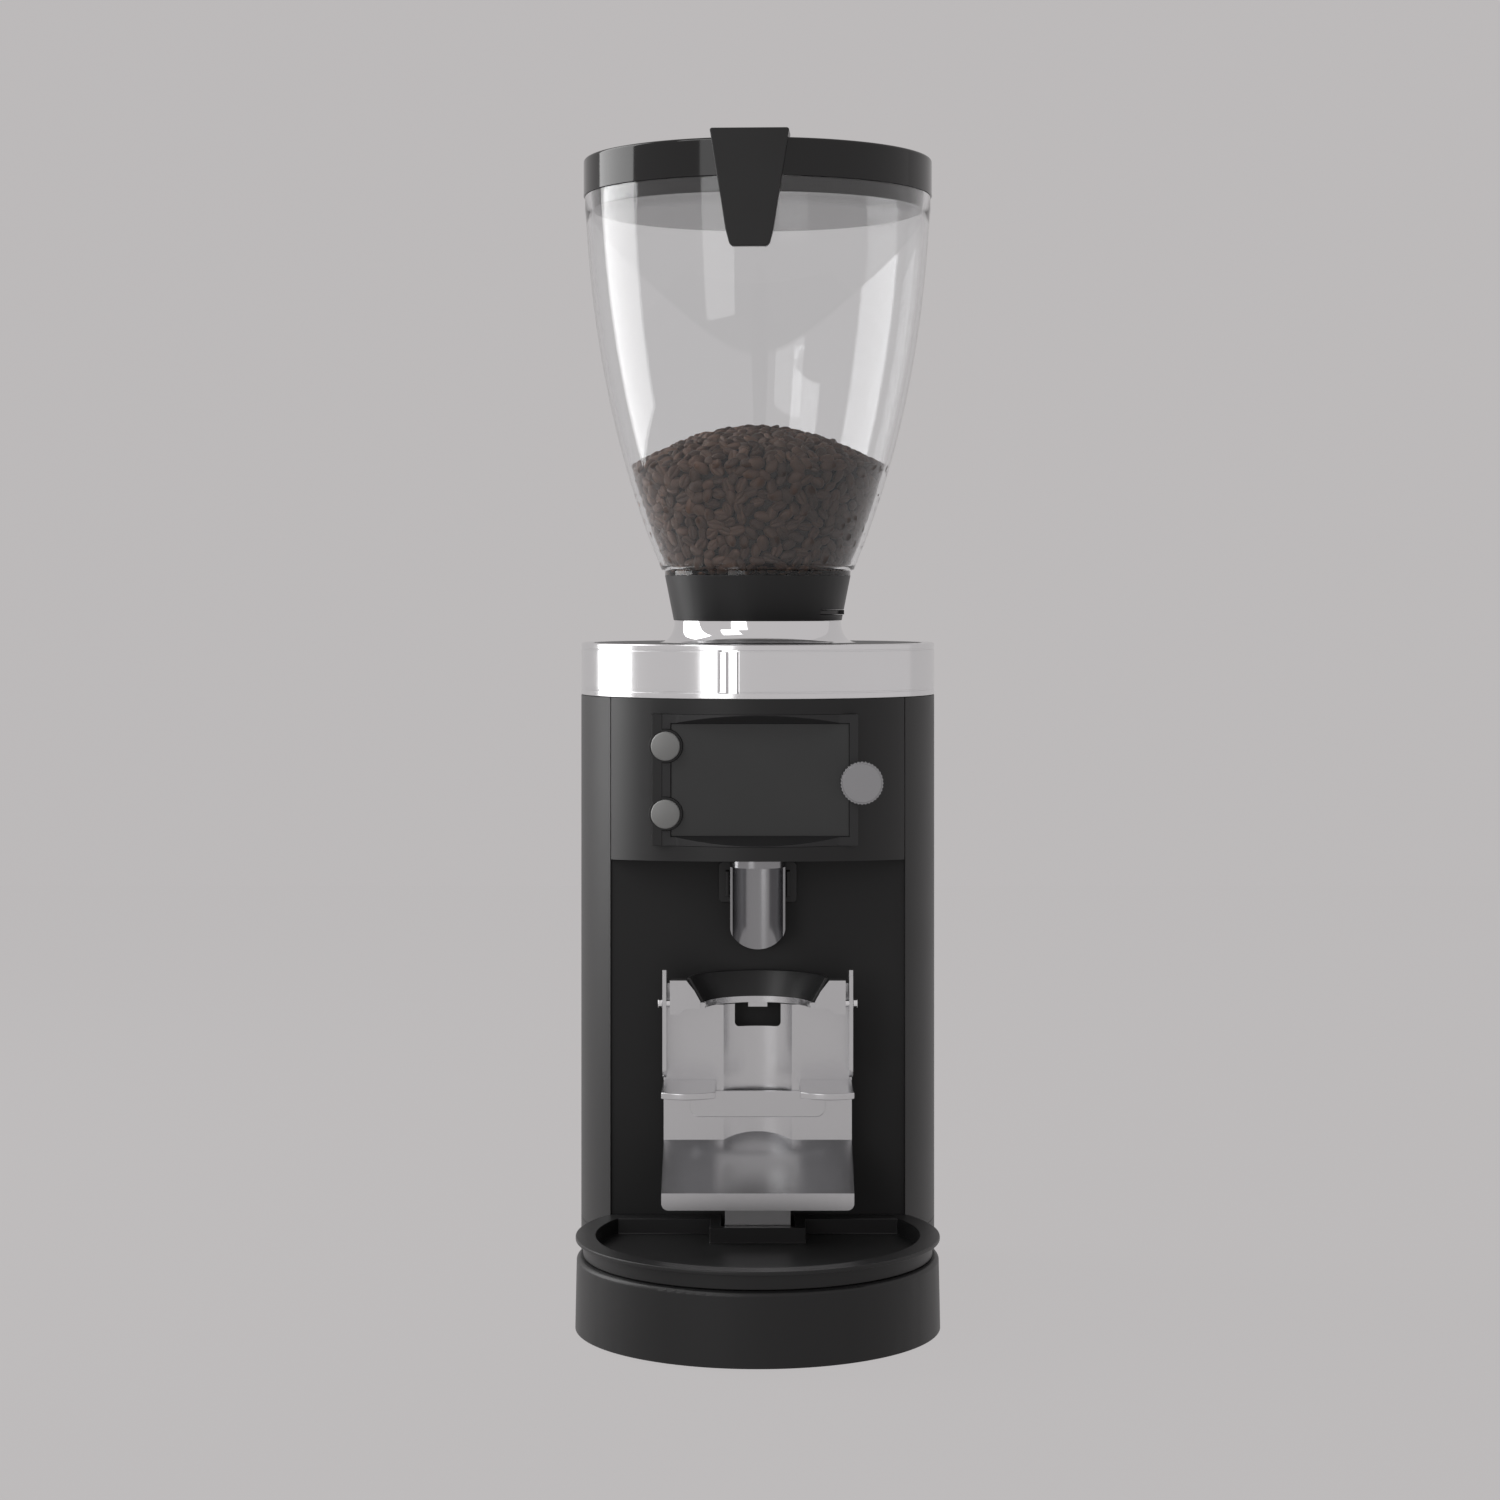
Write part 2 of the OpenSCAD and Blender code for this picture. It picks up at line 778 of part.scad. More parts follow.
module burr_screw_places() {
    for (i = [1:burr_screws]) rotate([0, 0, i * 360 / burr_screws + burr_screw_turn])
        translate([screw_pcd, 0, 0]) children();
}

module burr_screw_set() {
    burr_screw_places() cylinder(r = screw_r, h = burr_t - screw_sunk);
}

module upside_down() {
    rotate([180, 0, 0]) children();
}

module lower_burr() {
    color(steel) at_burr() translate([0, 0, lower_burr_z]) burr();
}

module lower_burr_screws() {
    color(charcoal) at_burr() translate([0, 0, lower_burr_z]) burr_screw_set();
}

module upper_burr() {
    color(steel) at_burr() translate([0, 0, upper_burr_z + burr_t]) upside_down() burr();
}

module upper_burr_screws() {
    color(charcoal) at_burr() translate([0, 0, upper_burr_z + burr_t]) upside_down() burr_screw_set();
}

sweepers = 3;
sweeper_w = 4;
sweeper_end = thread_r - 1.5;
disc_r = burr_r + 3;
boss_r_low = shaft_r + 8;
boss_gap = 0.5;

// Carrier disc on the shaft, with blades that sweep the ground coffee to the outlet port
module lower_carrier() {
    color(steel) at_burr() {
        tube(disc_r, shaft_r, lower_burr_z - carrier_t, carrier_t);
        tube(boss_r_low, shaft_r, chamber_floor + boss_gap, sweep_room - boss_gap);
        for (i = [1:sweepers]) rotate([0, 0, i * 360 / sweepers])
            span([disc_r - over, -sweeper_w / 2, lower_burr_z - carrier_t],
                 [sweeper_end, sweeper_w / 2, lower_burr_z - over]);
    }
}

key_w = 9;
key_h = 8;
key_angles = [30, 150, 270];
carrier_z = upper_burr_z + burr_t;
carrier_top = ring_z + 6.5;
carrier_in = 51;
spider_z = ring_z + 12;
spider_t = 4;

// Threaded carrier of the upper burr: the ring turns it, and the chamber's thread raises or lowers it
module upper_carrier() {
    color(steel) at_burr() difference() {
        translate([0, 0, carrier_z]) cylinder(r = thread_r - run, h = carrier_top - carrier_z);
        translate([0, 0, carrier_z + carrier_t]) cylinder(r = carrier_in, h = far);
        cylinder(r = burr_hole, h = far * 2);
        for (a = key_angles) rotate([0, 0, a])
            span([carrier_in - over, -key_w / 2 - slip, carrier_top - key_h - over],
                 [far, key_w / 2 + slip, far * 2]);
    }
}

// ---------------------------------------------------------------- adjusting ring and collar

lip_h = 3.6;
groove_w_ring = 0.9;
rib_w = 4;
rib_out = 1.6;
notch_w = 6.5;
notch_d = 3;
edge_r = 1.2;
rib_z0 = ring_z + lip_h;
rib_h = ring_h - 2 * lip_h - over;

module rib_place() {
    rotate([0, 0, -rib_angle]) children();
}

module adjust_ring() {
    color(chrome) at_burr() difference() {
        rotate_extrude() difference() {
            translate([ring_in, ring_z]) square([ring_wall, ring_h]);
            for (z = [ring_z + lip_h, ring_z + ring_h - lip_h - groove_w_ring])
                translate([body_r - groove_d, z]) square([groove_d + over, groove_w_ring]);
            translate([body_r - edge_r, ring_z + ring_h - edge_r]) difference() {
                square(edge_r + over);
                circle(r = edge_r);
            }
        }
        // Seat of the rib and the dark notch beside it
        rib_place() span([-rib_w, -body_r - over, rib_z0], [notch_w, -body_r + notch_d, rib_z0 + rib_h]);
    }
}

// Grip rib: a polished bar beside its notch
module ring_rib() {
    color(chrome) at_burr() rib_place()
        span([-rib_w, -body_r - rib_out, rib_z0], [0, -body_r + notch_d, rib_z0 + rib_h]);
}

post_r = 6;
post_pcd = 85;
post_angles = [90, 210, 330];
window_w = post_r + 2.5;
window_half = 40;

// An arc-shaped window round each collar post, which lets the ring turn past it
module spider_window() {
    rotate([0, 0, -window_half]) rotate_extrude(angle = 2 * window_half)
        translate([post_pcd - window_w, spider_z - over]) square([2 * window_w, spider_t + 2 * over]);
}

// Web that joins the ring to the upper carrier, with three keys that slide in its slots
module ring_spider() {
    color(steel) at_burr() {
        difference() {
            tube(ring_in, carrier_in, spider_z, spider_t);
            for (a = post_angles) rotate([0, 0, a]) spider_window();
        }
        for (a = key_angles) rotate([0, 0, a])
            span([carrier_in + over, -key_w / 2, carrier_top - key_h],
                 [thread_r - 2, key_w / 2, spider_z + tiny]);
    }
}

plate_t = 12;
plate_gap = 0.5;
plate_z = ring_z + ring_h - plate_t;
collar_in = 45;
collar_tube = 50;
collar_rise = 15;
neck_z = ring_z + ring_h + collar_rise;
collar_h = neck_z - ring_z - ring_h - slip;
flare_r = 66.7;

module collar_posts() {
    color(steel) at_burr() for (a = post_angles) rotate([0, 0, a]) translate([post_pcd, 0, deck_top])
        cylinder(r = post_r, h = plate_z - deck_top);
}

module top_plate() {
    color(black) at_burr() tube(ring_in - plate_gap, collar_tube, plate_z, plate_t);
}

flare_steps = 8;
neck_over = 0.5;

// Polished collar: a tube through the top plate with a flared foot that the neck stands over
module hopper_collar() {
    flare = [for (i = [0:flare_steps])
        [flare_r - (flare_r - neck_r + neck_over) * sin(90 * i / flare_steps),
         ring_z + ring_h + collar_h * (1 - cos(90 * i / flare_steps))]];
    color(chrome) at_burr() rotate_extrude()
        polygon(concat([[collar_in, plate_z], [collar_tube, plate_z], [collar_tube, ring_z + ring_h]],
                       flare, [[collar_in, ring_z + ring_h + collar_h]]));
}

// ---------------------------------------------------------------- hopper, gate and lid

neck_lip = 4;
neck_top = neck_z + neck_h - neck_lip;
neck_top_r = 63.2;
spigot_l = 23;
gate_z = neck_z + 4;
gate_t = 3;
gate_r = throat_r + 4;
cup_r = 58;
cup_deep = 11;
cup_z = neck_top - cup_deep;
cup_step = 4;
gate_roof = 2;
spigot_gap = 0.1;
tab_w = 18;
tab_out = 1.4;

module hopper_neck() {
    color(black) at_burr() difference() {
        union() {
            rotate_extrude() polygon([[throat_r, neck_z], [neck_r, neck_z], [neck_top_r, neck_top],
                                      [throat_r, neck_top]]);
            translate([0, 0, neck_z - spigot_l]) cylinder(r = collar_in - spigot_gap, h = spigot_l + over);
        }
        cylinder(r = throat_r, h = far * 2);
        translate([0, 0, cup_z]) cylinder(r = cup_r, h = far);
        translate([0, 0, gate_z + gate_t + gate_roof])
            cylinder(r1 = throat_r, r2 = cup_r - cup_step, h = cup_z - gate_z - gate_t - gate_roof);
        translate([0, 0, gate_z - slip]) linear_extrude(gate_t + 2 * slip) {
            circle(r = gate_r + slip);
            translate([0, -gate_r - slip]) square([far, 2 * (gate_r + slip)]);
        }
    }
}

// Sliding gate under the beans; its tab shows at the right of the neck
module shutoff_gate() {
    color(charcoal) at_burr() translate([0, 0, gate_z]) linear_extrude(gate_t) {
        intersection() {
            union() {
                circle(r = gate_r);
                translate([0, -gate_r]) square([far, 2 * gate_r]);
            }
            circle(r = neck_r - over);
        }
        translate([0, -tab_w / 2]) square([neck_r + tab_out, tab_w]);
    }
}

// The hopper's outline is one quadratic curve from the neck to the rim
shell_z = neck_top + neck_lip;
function bezier(a, b, c, t) = (1 - t) * (1 - t) * a + 2 * t * (1 - t) * b + t * t * c;
curve_steps = 20;
rim_h = 12.5;
rim_step = 3;
rim_out = 0.5;
curve_top = hopper_top - rim_h;
curve_a = [hopper_low_r, shell_z];
curve_b = [hopper_mid_r, shell_z + hopper_mid_h];
curve_c = [hopper_r, curve_top];
function hopper_curve(inset, t0 = 0) = [for (i = [0:curve_steps])
    let (t = t0 + (1 - t0) * i / curve_steps) bezier(curve_a, curve_b, curve_c, t) - [inset, 0]];

module hopper_shell() {
    outer = concat([[cup_r, cup_z], [cup_r, neck_top], [neck_top_r, neck_top], [neck_top_r, shell_z - 1]],
                   hopper_curve(0),
                   [[hopper_r + rim_out, curve_top + rim_step], [hopper_r + rim_out, hopper_top]]);
    inner = concat([[cup_r - hopper_wall, cup_z], [cup_r - hopper_wall, neck_top]], hopper_curve(hopper_wall),
                   [[hopper_r - hopper_wall, hopper_top]]);
    reverse = [for (i = [len(inner) - 1:-1:0]) inner[i]];
    color(clear) at_burr() rotate_extrude() polygon(concat(outer, reverse));
}

bean_gap = 0.8;
gate_clear = 0.2;
// Share of the heap's height that lies on the wall, and the heap's top as shares of its radius and rise
heap_wall = 0.72;
heap_line = [[0.8, 0.35], [0.4, 0.85], [0, 1]];

// Roasted beans as one heap: they fill the neck and lie up against the wall with a low crown
module bean_fill() {
    z0 = gate_z + gate_t + slip + gate_clear;
    side = [for (p = hopper_curve(hopper_wall + bean_gap)) if (p[1] < neck_top + heap_h * heap_wall) p];
    edge = side[len(side) - 1];
    crown = neck_top + heap_h;
    color(bean_brown) at_burr() rotate_extrude()
        polygon(concat(
            [[0, z0], [throat_r - bean_gap, z0], [throat_r - bean_gap, gate_z + 2 * gate_t],
             [cup_r - cup_step - 2 * bean_gap, cup_z], [cup_r - hopper_wall - bean_gap, neck_top]],
            side,
            [for (p = heap_line) [edge[0] * p[0], edge[1] + (crown - edge[1]) * p[1]]]
        ));
}

plug_drop = 9.5;
plug_gap = 0.7;
lid_edge_r = 2;

module lid() {
    color(black) at_burr() rotate_extrude() {
        translate([0, hopper_top + slip]) square([lid_r, lid_h - slip - lid_edge_r]);
        translate([0, hopper_top + lid_h - lid_edge_r]) square([lid_r - lid_edge_r, lid_edge_r]);
        translate([lid_r - lid_edge_r, hopper_top + lid_h - lid_edge_r]) intersection() {
            circle(r = lid_edge_r);
            square(lid_edge_r);
        }
        translate([0, hopper_top - plug_drop]) square([hopper_r - hopper_wall - plug_gap, plug_drop + over]);
    }
}

clip_front = lid_r + clip_t;
clip_over = 5;
clip_reach = 20.5;
clip_back = lid_r - clip_reach;
clip_mid_w = 31;
clip_mid_h = 11;
clip_end_w = 26.3;
clip_end_r = 2;
clip_edge = 1;
clip_lip = 3;
clip_lip_in = 0.4;
clip_top = hopper_top + lid_h + clip_over;

function reverse(list) = [for (i = [len(list) - 1:-1:0]) list[i]];

// One edge of the clip seen from the front, from its lower end up
function clip_edge_line(z0, side) = [
    [side * (clip_end_w / 2 - clip_end_r), z0],
    [side * clip_end_w / 2, z0 + clip_end_r],
    [side * clip_mid_w / 2, z0 + clip_mid_h],
    [side * (clip_w / 2 - clip_lip_in), clip_top - clip_lip],
    [side * clip_w / 2, clip_top - clip_edge],
    [side * (clip_w / 2 - clip_edge), clip_top]
];

module lid_clip() {
    z0 = clip_top - clip_h;
    color(black) at_burr() difference() {
        translate([0, -clip_back, 0]) rotate([90, 0, 0]) linear_extrude(clip_front - clip_back)
            polygon(concat(clip_edge_line(z0, 1), reverse(clip_edge_line(z0, -1))));
        cylinder(r = lid_r, h = hopper_top + lid_h);
    }
}

// ---------------------------------------------------------------- catch tray

// Width of the holder's post and how far its foot reaches in front of the burr axis
post_w = 42.6;
post_reach = 108;

tray_z = base_top + slip;
tray_clear = 1;
tray_top = tray_z + tray_h;
tray_back = sqrt(body_r * body_r - niche_half * niche_half) + tray_clear;
tray_step = 1;
notch_side = 2.7;
notch_gap = 2.5;
notch_half = post_w / 2 + notch_side;
notch_front = post_reach + notch_gap;
dish_back = 85;
step_side = 7;
step_gap = 5.5;
step_half = notch_half + step_side;
step_front = notch_front + step_gap;

module catch_tray() {
    dish_z = tray_z + tray_floor;
    dish_r = tray_r - rim_w;
    color(black) at_burr() difference() {
        translate([0, -base_fwd, 0]) union() {
            translate([0, 0, tray_top - rim_t]) cylinder(r = tray_r, h = rim_t);
            translate([0, 0, tray_z]) cylinder(r = tray_r - rim_over, h = tray_h - tray_step);
        }
        span([-far, -tray_back, 0], [far, far, far]);
        difference() {
            translate([0, -base_fwd, dish_z]) cylinder(r = dish_r, h = far);
            span([-far, -dish_back, 0], [far, far, far * 2]);
            span([-step_half, -step_front, 0], [step_half, 0, far * 2]);
        }
        span([-notch_half, -notch_front, 0], [notch_half, far, far]);
    }
}

// ---------------------------------------------------------------- filter handle holder

// The sheet's front and back faces, and the vertical axis of the trough and the half funnel
sheet_gap = 22;
sheet_front = -niche_depth - sheet_gap;
sheet_back = sheet_front + sheet_t;
basket_gap = 25;
trough_y = sheet_front - basket_gap;
trough_out = trough_r + sheet_t;
trough_top = fork_z + trough_h;
skirt_drop = 38;
skirt_z = fork_z - skirt_drop;
skirt_reach = 52;
skirt_front = sheet_front - skirt_reach;
skirt_fall = 26.5;
skirt_low = skirt_z - skirt_fall;
lip_drop = 10.9;
skirt_end = skirt_low - lip_drop;
skirt_corner = 4.5;
// The skirt's thickness measured upright
skirt_t = 1.1 * sheet_t;
pivot_out = 22;
pivot_y = sheet_front - pivot_out;
pivot_rise = 3.5;
pivot_z = trough_top + pivot_rise;
cheek_r = 6;
cheek_front = pivot_y - cheek_r;
cheek_z = fork_z + 5;
cheek_rise = 18.5;
cheek_top = pivot_z + cheek_rise;
nub_w = 6;
nub_h = 3.6;
funnel_out = trough_r + 3;
wing_in = funnel_out + funnel_flare + 0.5;
wing_drop = 8;
window_half_w = 15;
window_h = 15;
window_r = 3;
holder_half = holder_w / 2;

// Plan of the holder's sheet: flat wings either side of a round trough
module holder_plan() {
    difference() {
        union() {
            translate([-holder_half, sheet_front]) square([holder_w, sheet_t]);
            intersection() {
                translate([0, trough_y]) circle(r = trough_out);
                translate([-far, sheet_front]) square([2 * far, far]);
            }
        }
        translate([0, trough_y]) circle(r = trough_r);
    }
}

// Side view of the skirt: it slopes forward under the trough and ends in an upright lip
module skirt_profile() {
    rise = (skirt_z - skirt_low) / (sheet_back - skirt_front);
    t = skirt_t;
    back_z = skirt_z + (trough_y + trough_out - sheet_back) * rise;
    polygon([[skirt_front, skirt_end], [skirt_front + sheet_t, skirt_end],
             [skirt_front + sheet_t, skirt_low - t / 3],
             [trough_y + trough_out, back_z - t], [trough_y + trough_out, back_z], [skirt_front, skirt_low]]);
}

// Everything that lies above the skirt's underside
module above_skirt() {
    rise = (skirt_z - skirt_low) / (sheet_back - skirt_front);
    rotate([90, 0, 90]) translate([0, 0, -far]) linear_extrude(2 * far)
        polygon([[skirt_front, skirt_low - over], [0, skirt_low - over - skirt_front * rise],
                 [0, far], [skirt_front, far]]);
}

module cheek_outline() {
    r = cheek_r;
    translate([cheek_front, cheek_z + r]) square([sheet_back - cheek_front, cheek_top - cheek_z - r]);
    translate([cheek_front + r, cheek_z]) square([sheet_back - cheek_front - r, r + over]);
    translate([cheek_front + r, cheek_z + r]) circle(r = r);
    translate([cheek_front + over, cheek_top - over]) square([nub_w, nub_h + over]);
}

module holder_plate() {
    color(steel) at_burr() difference() {
        union() {
            intersection() {
                translate([0, 0, skirt_low]) linear_extrude(trough_top - skirt_low) holder_plan();
                above_skirt();
            }
            both_sides() {
                span([wing_in, sheet_front, trough_top - over],
                     [holder_half, sheet_back, cheek_top - wing_drop]);
                translate([holder_half - sheet_t, 0, 0]) rotate([90, 0, 90])
                    linear_extrude(sheet_t) cheek_outline();
            }
            intersection() {
                rotate([90, 0, 90]) translate([0, 0, -holder_half]) linear_extrude(holder_w) skirt_profile();
                plate_y(holder_w, skirt_end, far, skirt_corner, -far, far);
            }
        }
        // Window at the head of the trough, with rounded lower corners
        plate_y(2 * window_half_w, trough_top - window_h, trough_top + window_h, window_r, -far / 2, far / 2);
        rod_x(pin_r + run, -far, pivot_y, pivot_z, 2 * far);
    }
}

fork_t = 4;
fork_in = 27;
fork_w = 88;
flange_drop = 24;
flange_r = 6;
flange_notch = 7;
tine_r = 24;
tine_out = 16;

// Pressed fork: two arms that carry the filter handle, bent forward from a flange on the plate
module portafilter_fork() {
    arm_y = sheet_front - fork_l + tine_r;
    color(steel) at_burr() {
        both_sides() translate([0, 0, fork_z - fork_t]) linear_extrude(fork_t) intersection() {
            translate([fork_in, arm_y - tine_r])
                square([holder_half - fork_in, sheet_front - arm_y + tine_r]);
            union() {
                translate([holder_half - tine_out, arm_y]) circle(r = tine_r);
                translate([0, arm_y]) square([far, far]);
            }
        }
        difference() {
            plate_y(fork_w, fork_z - flange_drop, fork_z, flange_r, sheet_front - sheet_t, sheet_t);
            span([-fork_in, -far, fork_z - flange_notch], [fork_in, 0, far]);
        }
    }
}

// ---------------------------------------------------------------- post and slide

rail_in = 8;
rail_front = -niche_depth - rail_in;
rail_rise = 31;
rail_top = fork_z + rail_rise;
post_foot_h = 24;
post_bolt_l = 16;

module holder_post() {
    color(steel) at_burr() difference() {
        union() {
            span([-post_w / 2, rail_front, base_top], [post_w / 2, -niche_depth, rail_top]);
            span([-post_w / 2, -post_reach, base_top],
                 [post_w / 2, rail_front + over, base_top + post_foot_h]);
        }
        for (p = post_bolts) translate([p[0], p[1], base_top - over])
            cylinder(r = bolt_r + run, h = post_bolt_l);
    }
}

slide_z = fork_z - 12;
slide_h = 38;
slide_wall = 6;
slide_gap = 1;

// Block behind the holder plate that runs on the post's rail
module slide_block() {
    half = post_w / 2 + slip;
    color(charcoal) at_burr() difference() {
        span([-half - slide_wall, sheet_back, slide_z],
             [half + slide_wall, -niche_depth - slide_gap, slide_z + slide_h]);
        span([-half, rail_front - slip, 0], [half, 0, far]);
        translate([0, trough_y, 0]) cylinder(r = trough_out, h = far);
    }
}

// ---------------------------------------------------------------- clamp and half funnel

ring_gap = 0.5;
clamp_ring_z = trough_top + ring_gap;
clamp_ring_h = 4;
funnel_z = clamp_ring_z + clamp_ring_h;
funnel_t = 2;
clamp_bore = trough_r + 0.5;
block_front = pivot_y - 6;
block_back = pivot_y + 5;
block_in = clamp_bore + 3;
block_gap = 2.3;
block_out = holder_half - sheet_t - block_gap;
block_z0 = pivot_z - 6.5;
block_z1 = pivot_z + 15.5;
// Widths of the side block's head, ledge and foot, from its outer face in
block_head_w = 10.6;
block_ledge_w = 9.6;
block_foot_w = 5.6;
block_step = 4;
block_lap = 3;
ring_tab_w = 12.5;
ring_tab_h = 3;
ring_tab_in = 0.1;
ring_tab_out = 0.4;

// Side block of the clamp seen from the front, stepped in below towards the ring
module block_outline() {
    polygon([
        [block_out, block_z0],
        [block_out, block_z1],
        [block_out - block_head_w, block_z1],
        [block_in, pivot_z + block_step],
        [block_in, clamp_ring_z],
        [block_out - block_ledge_w, clamp_ring_z],
        [block_out - block_foot_w, block_z0]
    ]);
}

// The solid cone that the half funnel's outer face lies on
module funnel_body() {
    translate([0, trough_y, funnel_z])
        cylinder(r1 = funnel_out, r2 = funnel_out + funnel_flare, h = funnel_h);
}

module clamp_bracket() {
    color(steel) at_burr() difference() {
        union() {
            difference() {
                both_sides() translate([0, block_back, 0]) rotate([90, 0, 0])
                    linear_extrude(block_back - block_front) block_outline();
                funnel_body();
            }
            difference() {
                translate([0, trough_y, 0]) tube(funnel_out, clamp_bore, clamp_ring_z, clamp_ring_h);
                span([-far, -far, 0], [far, trough_y, far]);
            }
            both_sides() span([clamp_bore, trough_y, clamp_ring_z],
                              [block_in + block_lap, block_back, clamp_ring_z + clamp_ring_h]);
            span([-ring_tab_w / 2, trough_y + clamp_bore + ring_tab_in, clamp_ring_z - ring_tab_h],
                 [ring_tab_w / 2, trough_y + funnel_out - ring_tab_out, clamp_ring_z + over]);
        }
        rod_x(pin_r, -far, pivot_y, pivot_z, 2 * far);
        translate([0, trough_y, clamp_ring_z - block_step])
            cylinder(r = clamp_bore, h = clamp_ring_h + block_step);
    }
}

// Black catch funnel, open to the front
module half_funnel() {
    color(black) at_burr() translate([0, trough_y, funnel_z]) rotate_extrude(angle = 180)
        polygon([[funnel_out - funnel_t, 0], [funnel_out, 0], [funnel_out + funnel_flare, funnel_h],
                 [funnel_out + funnel_flare - funnel_t, funnel_h]]);
}

pin_in = block_out - 7.6;
pin_out = holder_half + 2.9;
pin_head = 0.6;

module pivot_pins() {
    color(chrome) at_burr() both_sides() {
        rod_x(pin_r, pin_in, pivot_y, pivot_z, pin_out - pin_in);
        rod_x(pin_r + pin_head, holder_half + slip, pivot_y, pivot_z, pin_out - holder_half - slip);
    }
}

// ---------------------------------------------------------------- chute and electrics

chute_front = screen_y + 12;
chute_half = 18;
chute_wall = 2;
chute_top = port_z + port_h + 4;

// Duct from the chamber's port down to the spout
module outlet_chute() {
    color(charcoal) at_burr() difference() {
        span([-chute_half, chute_front, spout_top], [chute_half, 0, chute_top]);
        span([chute_wall - chute_half, chute_front + chute_wall, 0],
             [chute_half - chute_wall, -niche_depth - 2 * chute_wall, chute_top - chute_wall]);
        span([-port_w / 2, -niche_depth - 2 * chute_wall - over, port_z], [port_w / 2, 0, port_z + port_h]);
        span([-far, -niche_depth + niche_panel_t, 0], [far, far, chamber_floor - floor_t]);
        cylinder(r = chamber_r, h = far * 2);
    }
}

board_room = 20;
board_y = body_back - shell_t - board_room;
board_half = 50;
board_h = 120;
coil_box = [40, 18, 32];
coil_z = base_top + 70;
filter_r = 9;
filter_h = 16;
filter_x = 30;
filter_z = base_top + 90;

// Control board on the base, with a transformer and a filter capacitor
module control_board() {
    color(green) at_burr() {
        span([-board_half, board_y, base_top], [board_half, board_y + board_t, base_top + board_h]);
        translate([-30, board_y - coil_box[1], coil_z]) cube(coil_box);
        rod_y(filter_r, filter_x, board_y - filter_h, filter_z, filter_h);
    }
}

start_cap_r = 20;
start_cap_h = 82;
start_cap_gap = 11;
start_cap_y = 20;

module start_capacitor() {
    x = start_cap_r + start_cap_gap + shell_t - body_r;
    color(light_grey) at_burr() translate([x, start_cap_y, base_top])
        cylinder(r = start_cap_r, h = start_cap_h);
}

inlet_depth = 16;
socket_w = 27.6;
socket_h = 20.6;
socket_x = -17;
rocker_x = 24;
rocker_w = 13;
rocker_l = 20;
rocker_room = 2;
axle_r = 1.5;
inlet_back = 2;
blade_pitch = 7;
blade_z = [-4, 2, 2];
blade_t = 2;
blade_w = 4;
blade_sunk = 6;

// Mains inlet and the frame of the power switch in one moulded block, flush with the rear cover
module power_inlet() {
    face = body_back;
    color(black) at_burr() {
        difference() {
            span([-inlet_w / 2, face - inlet_depth - inlet_back, inlet_z - inlet_h / 2],
                 [inlet_w / 2, face, inlet_z + inlet_h / 2]);
            span([socket_x - socket_w / 2, face - inlet_depth, inlet_z - socket_h / 2],
                 [socket_x + socket_w / 2, face + over, inlet_z + socket_h / 2]);
            span([rocker_x - rocker_w / 2 - slip, face - inlet_depth, inlet_z - rocker_l / 2 - rocker_room],
                 [rocker_x + rocker_w / 2 + slip, face + over, inlet_z + rocker_l / 2 + rocker_room]);
        }
        for (i = [0:2]) translate([socket_x + (i - 1) * blade_pitch, face, inlet_z + blade_z[i]])
            span([-blade_t / 2, -inlet_depth - over, -blade_w / 2], [blade_t / 2, -blade_sunk, blade_w / 2]);
        rod_x(axle_r, rocker_x - rocker_w / 2 - over, rocker_y, inlet_z, rocker_w + 2 * over);
    }
}

rocker_sunk = 7;
rocker_y = body_back - rocker_sunk;
rocker_throw = 14;

// Rocker seen from the side, x towards its face, with a shallow vee there
module rocker_outline() {
    half = rocker_l / 2;
    polygon([[-3, -half / 2], [4, -half], [5.6, -half], [4.6, 0], [5.6, half], [4, half], [-3, half / 2]]);
}

// Power rocker, resting with its upper end pressed
module power_rocker() {
    color(charcoal) at_burr() translate([0, rocker_y, inlet_z]) rotate([-rocker_throw / 2, 0, 0])
        difference() {
            translate([rocker_x - rocker_w / 2, 0, 0]) rotate([90, 0, 90])
                linear_extrude(rocker_w) rocker_outline();
            rod_x(axle_r + run, -far, 0, 0, 2 * far);
        }
}

base_casting();
bottom_plate();
rubber_feet();
left_side_panel();
right_side_panel();
rear_cover();
cover_screws();
niche_panel();
head_panel();
top_deck();
display_bezel();
display_screen();
display_board();
button_strip();
knob_encoder();
control_board();
start_capacitor();
power_inlet();
grinding_chamber();
motor_housing();
motor_stator();
motor_end_cap();
upper_bearing();
lower_bearing();
outlet_chute();
spout();
spout_plate();
collar_posts();
top_plate();
hopper_collar();
holder_post();
adjust_ring();
ring_rib();
ring_spider();
upper_carrier();
upper_burr();
upper_burr_screws();
motor_shaft();
motor_rotor();
cooling_fan();
lower_carrier();
lower_burr();
lower_burr_screws();
catch_tray();
hopper_shell();
hopper_neck();
bean_fill();
shutoff_gate();
lid();
lid_clip();
upper_button();
lower_button();
menu_knob();
holder_plate();
portafilter_fork();
slide_block();
clamp_bracket();
half_funnel();
pivot_pins();
power_rocker();
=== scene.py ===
"""Looks of an on-demand espresso grinder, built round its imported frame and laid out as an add-on."""

import json
import math

import bmesh
import bpy
from mathutils import Matrix, Vector

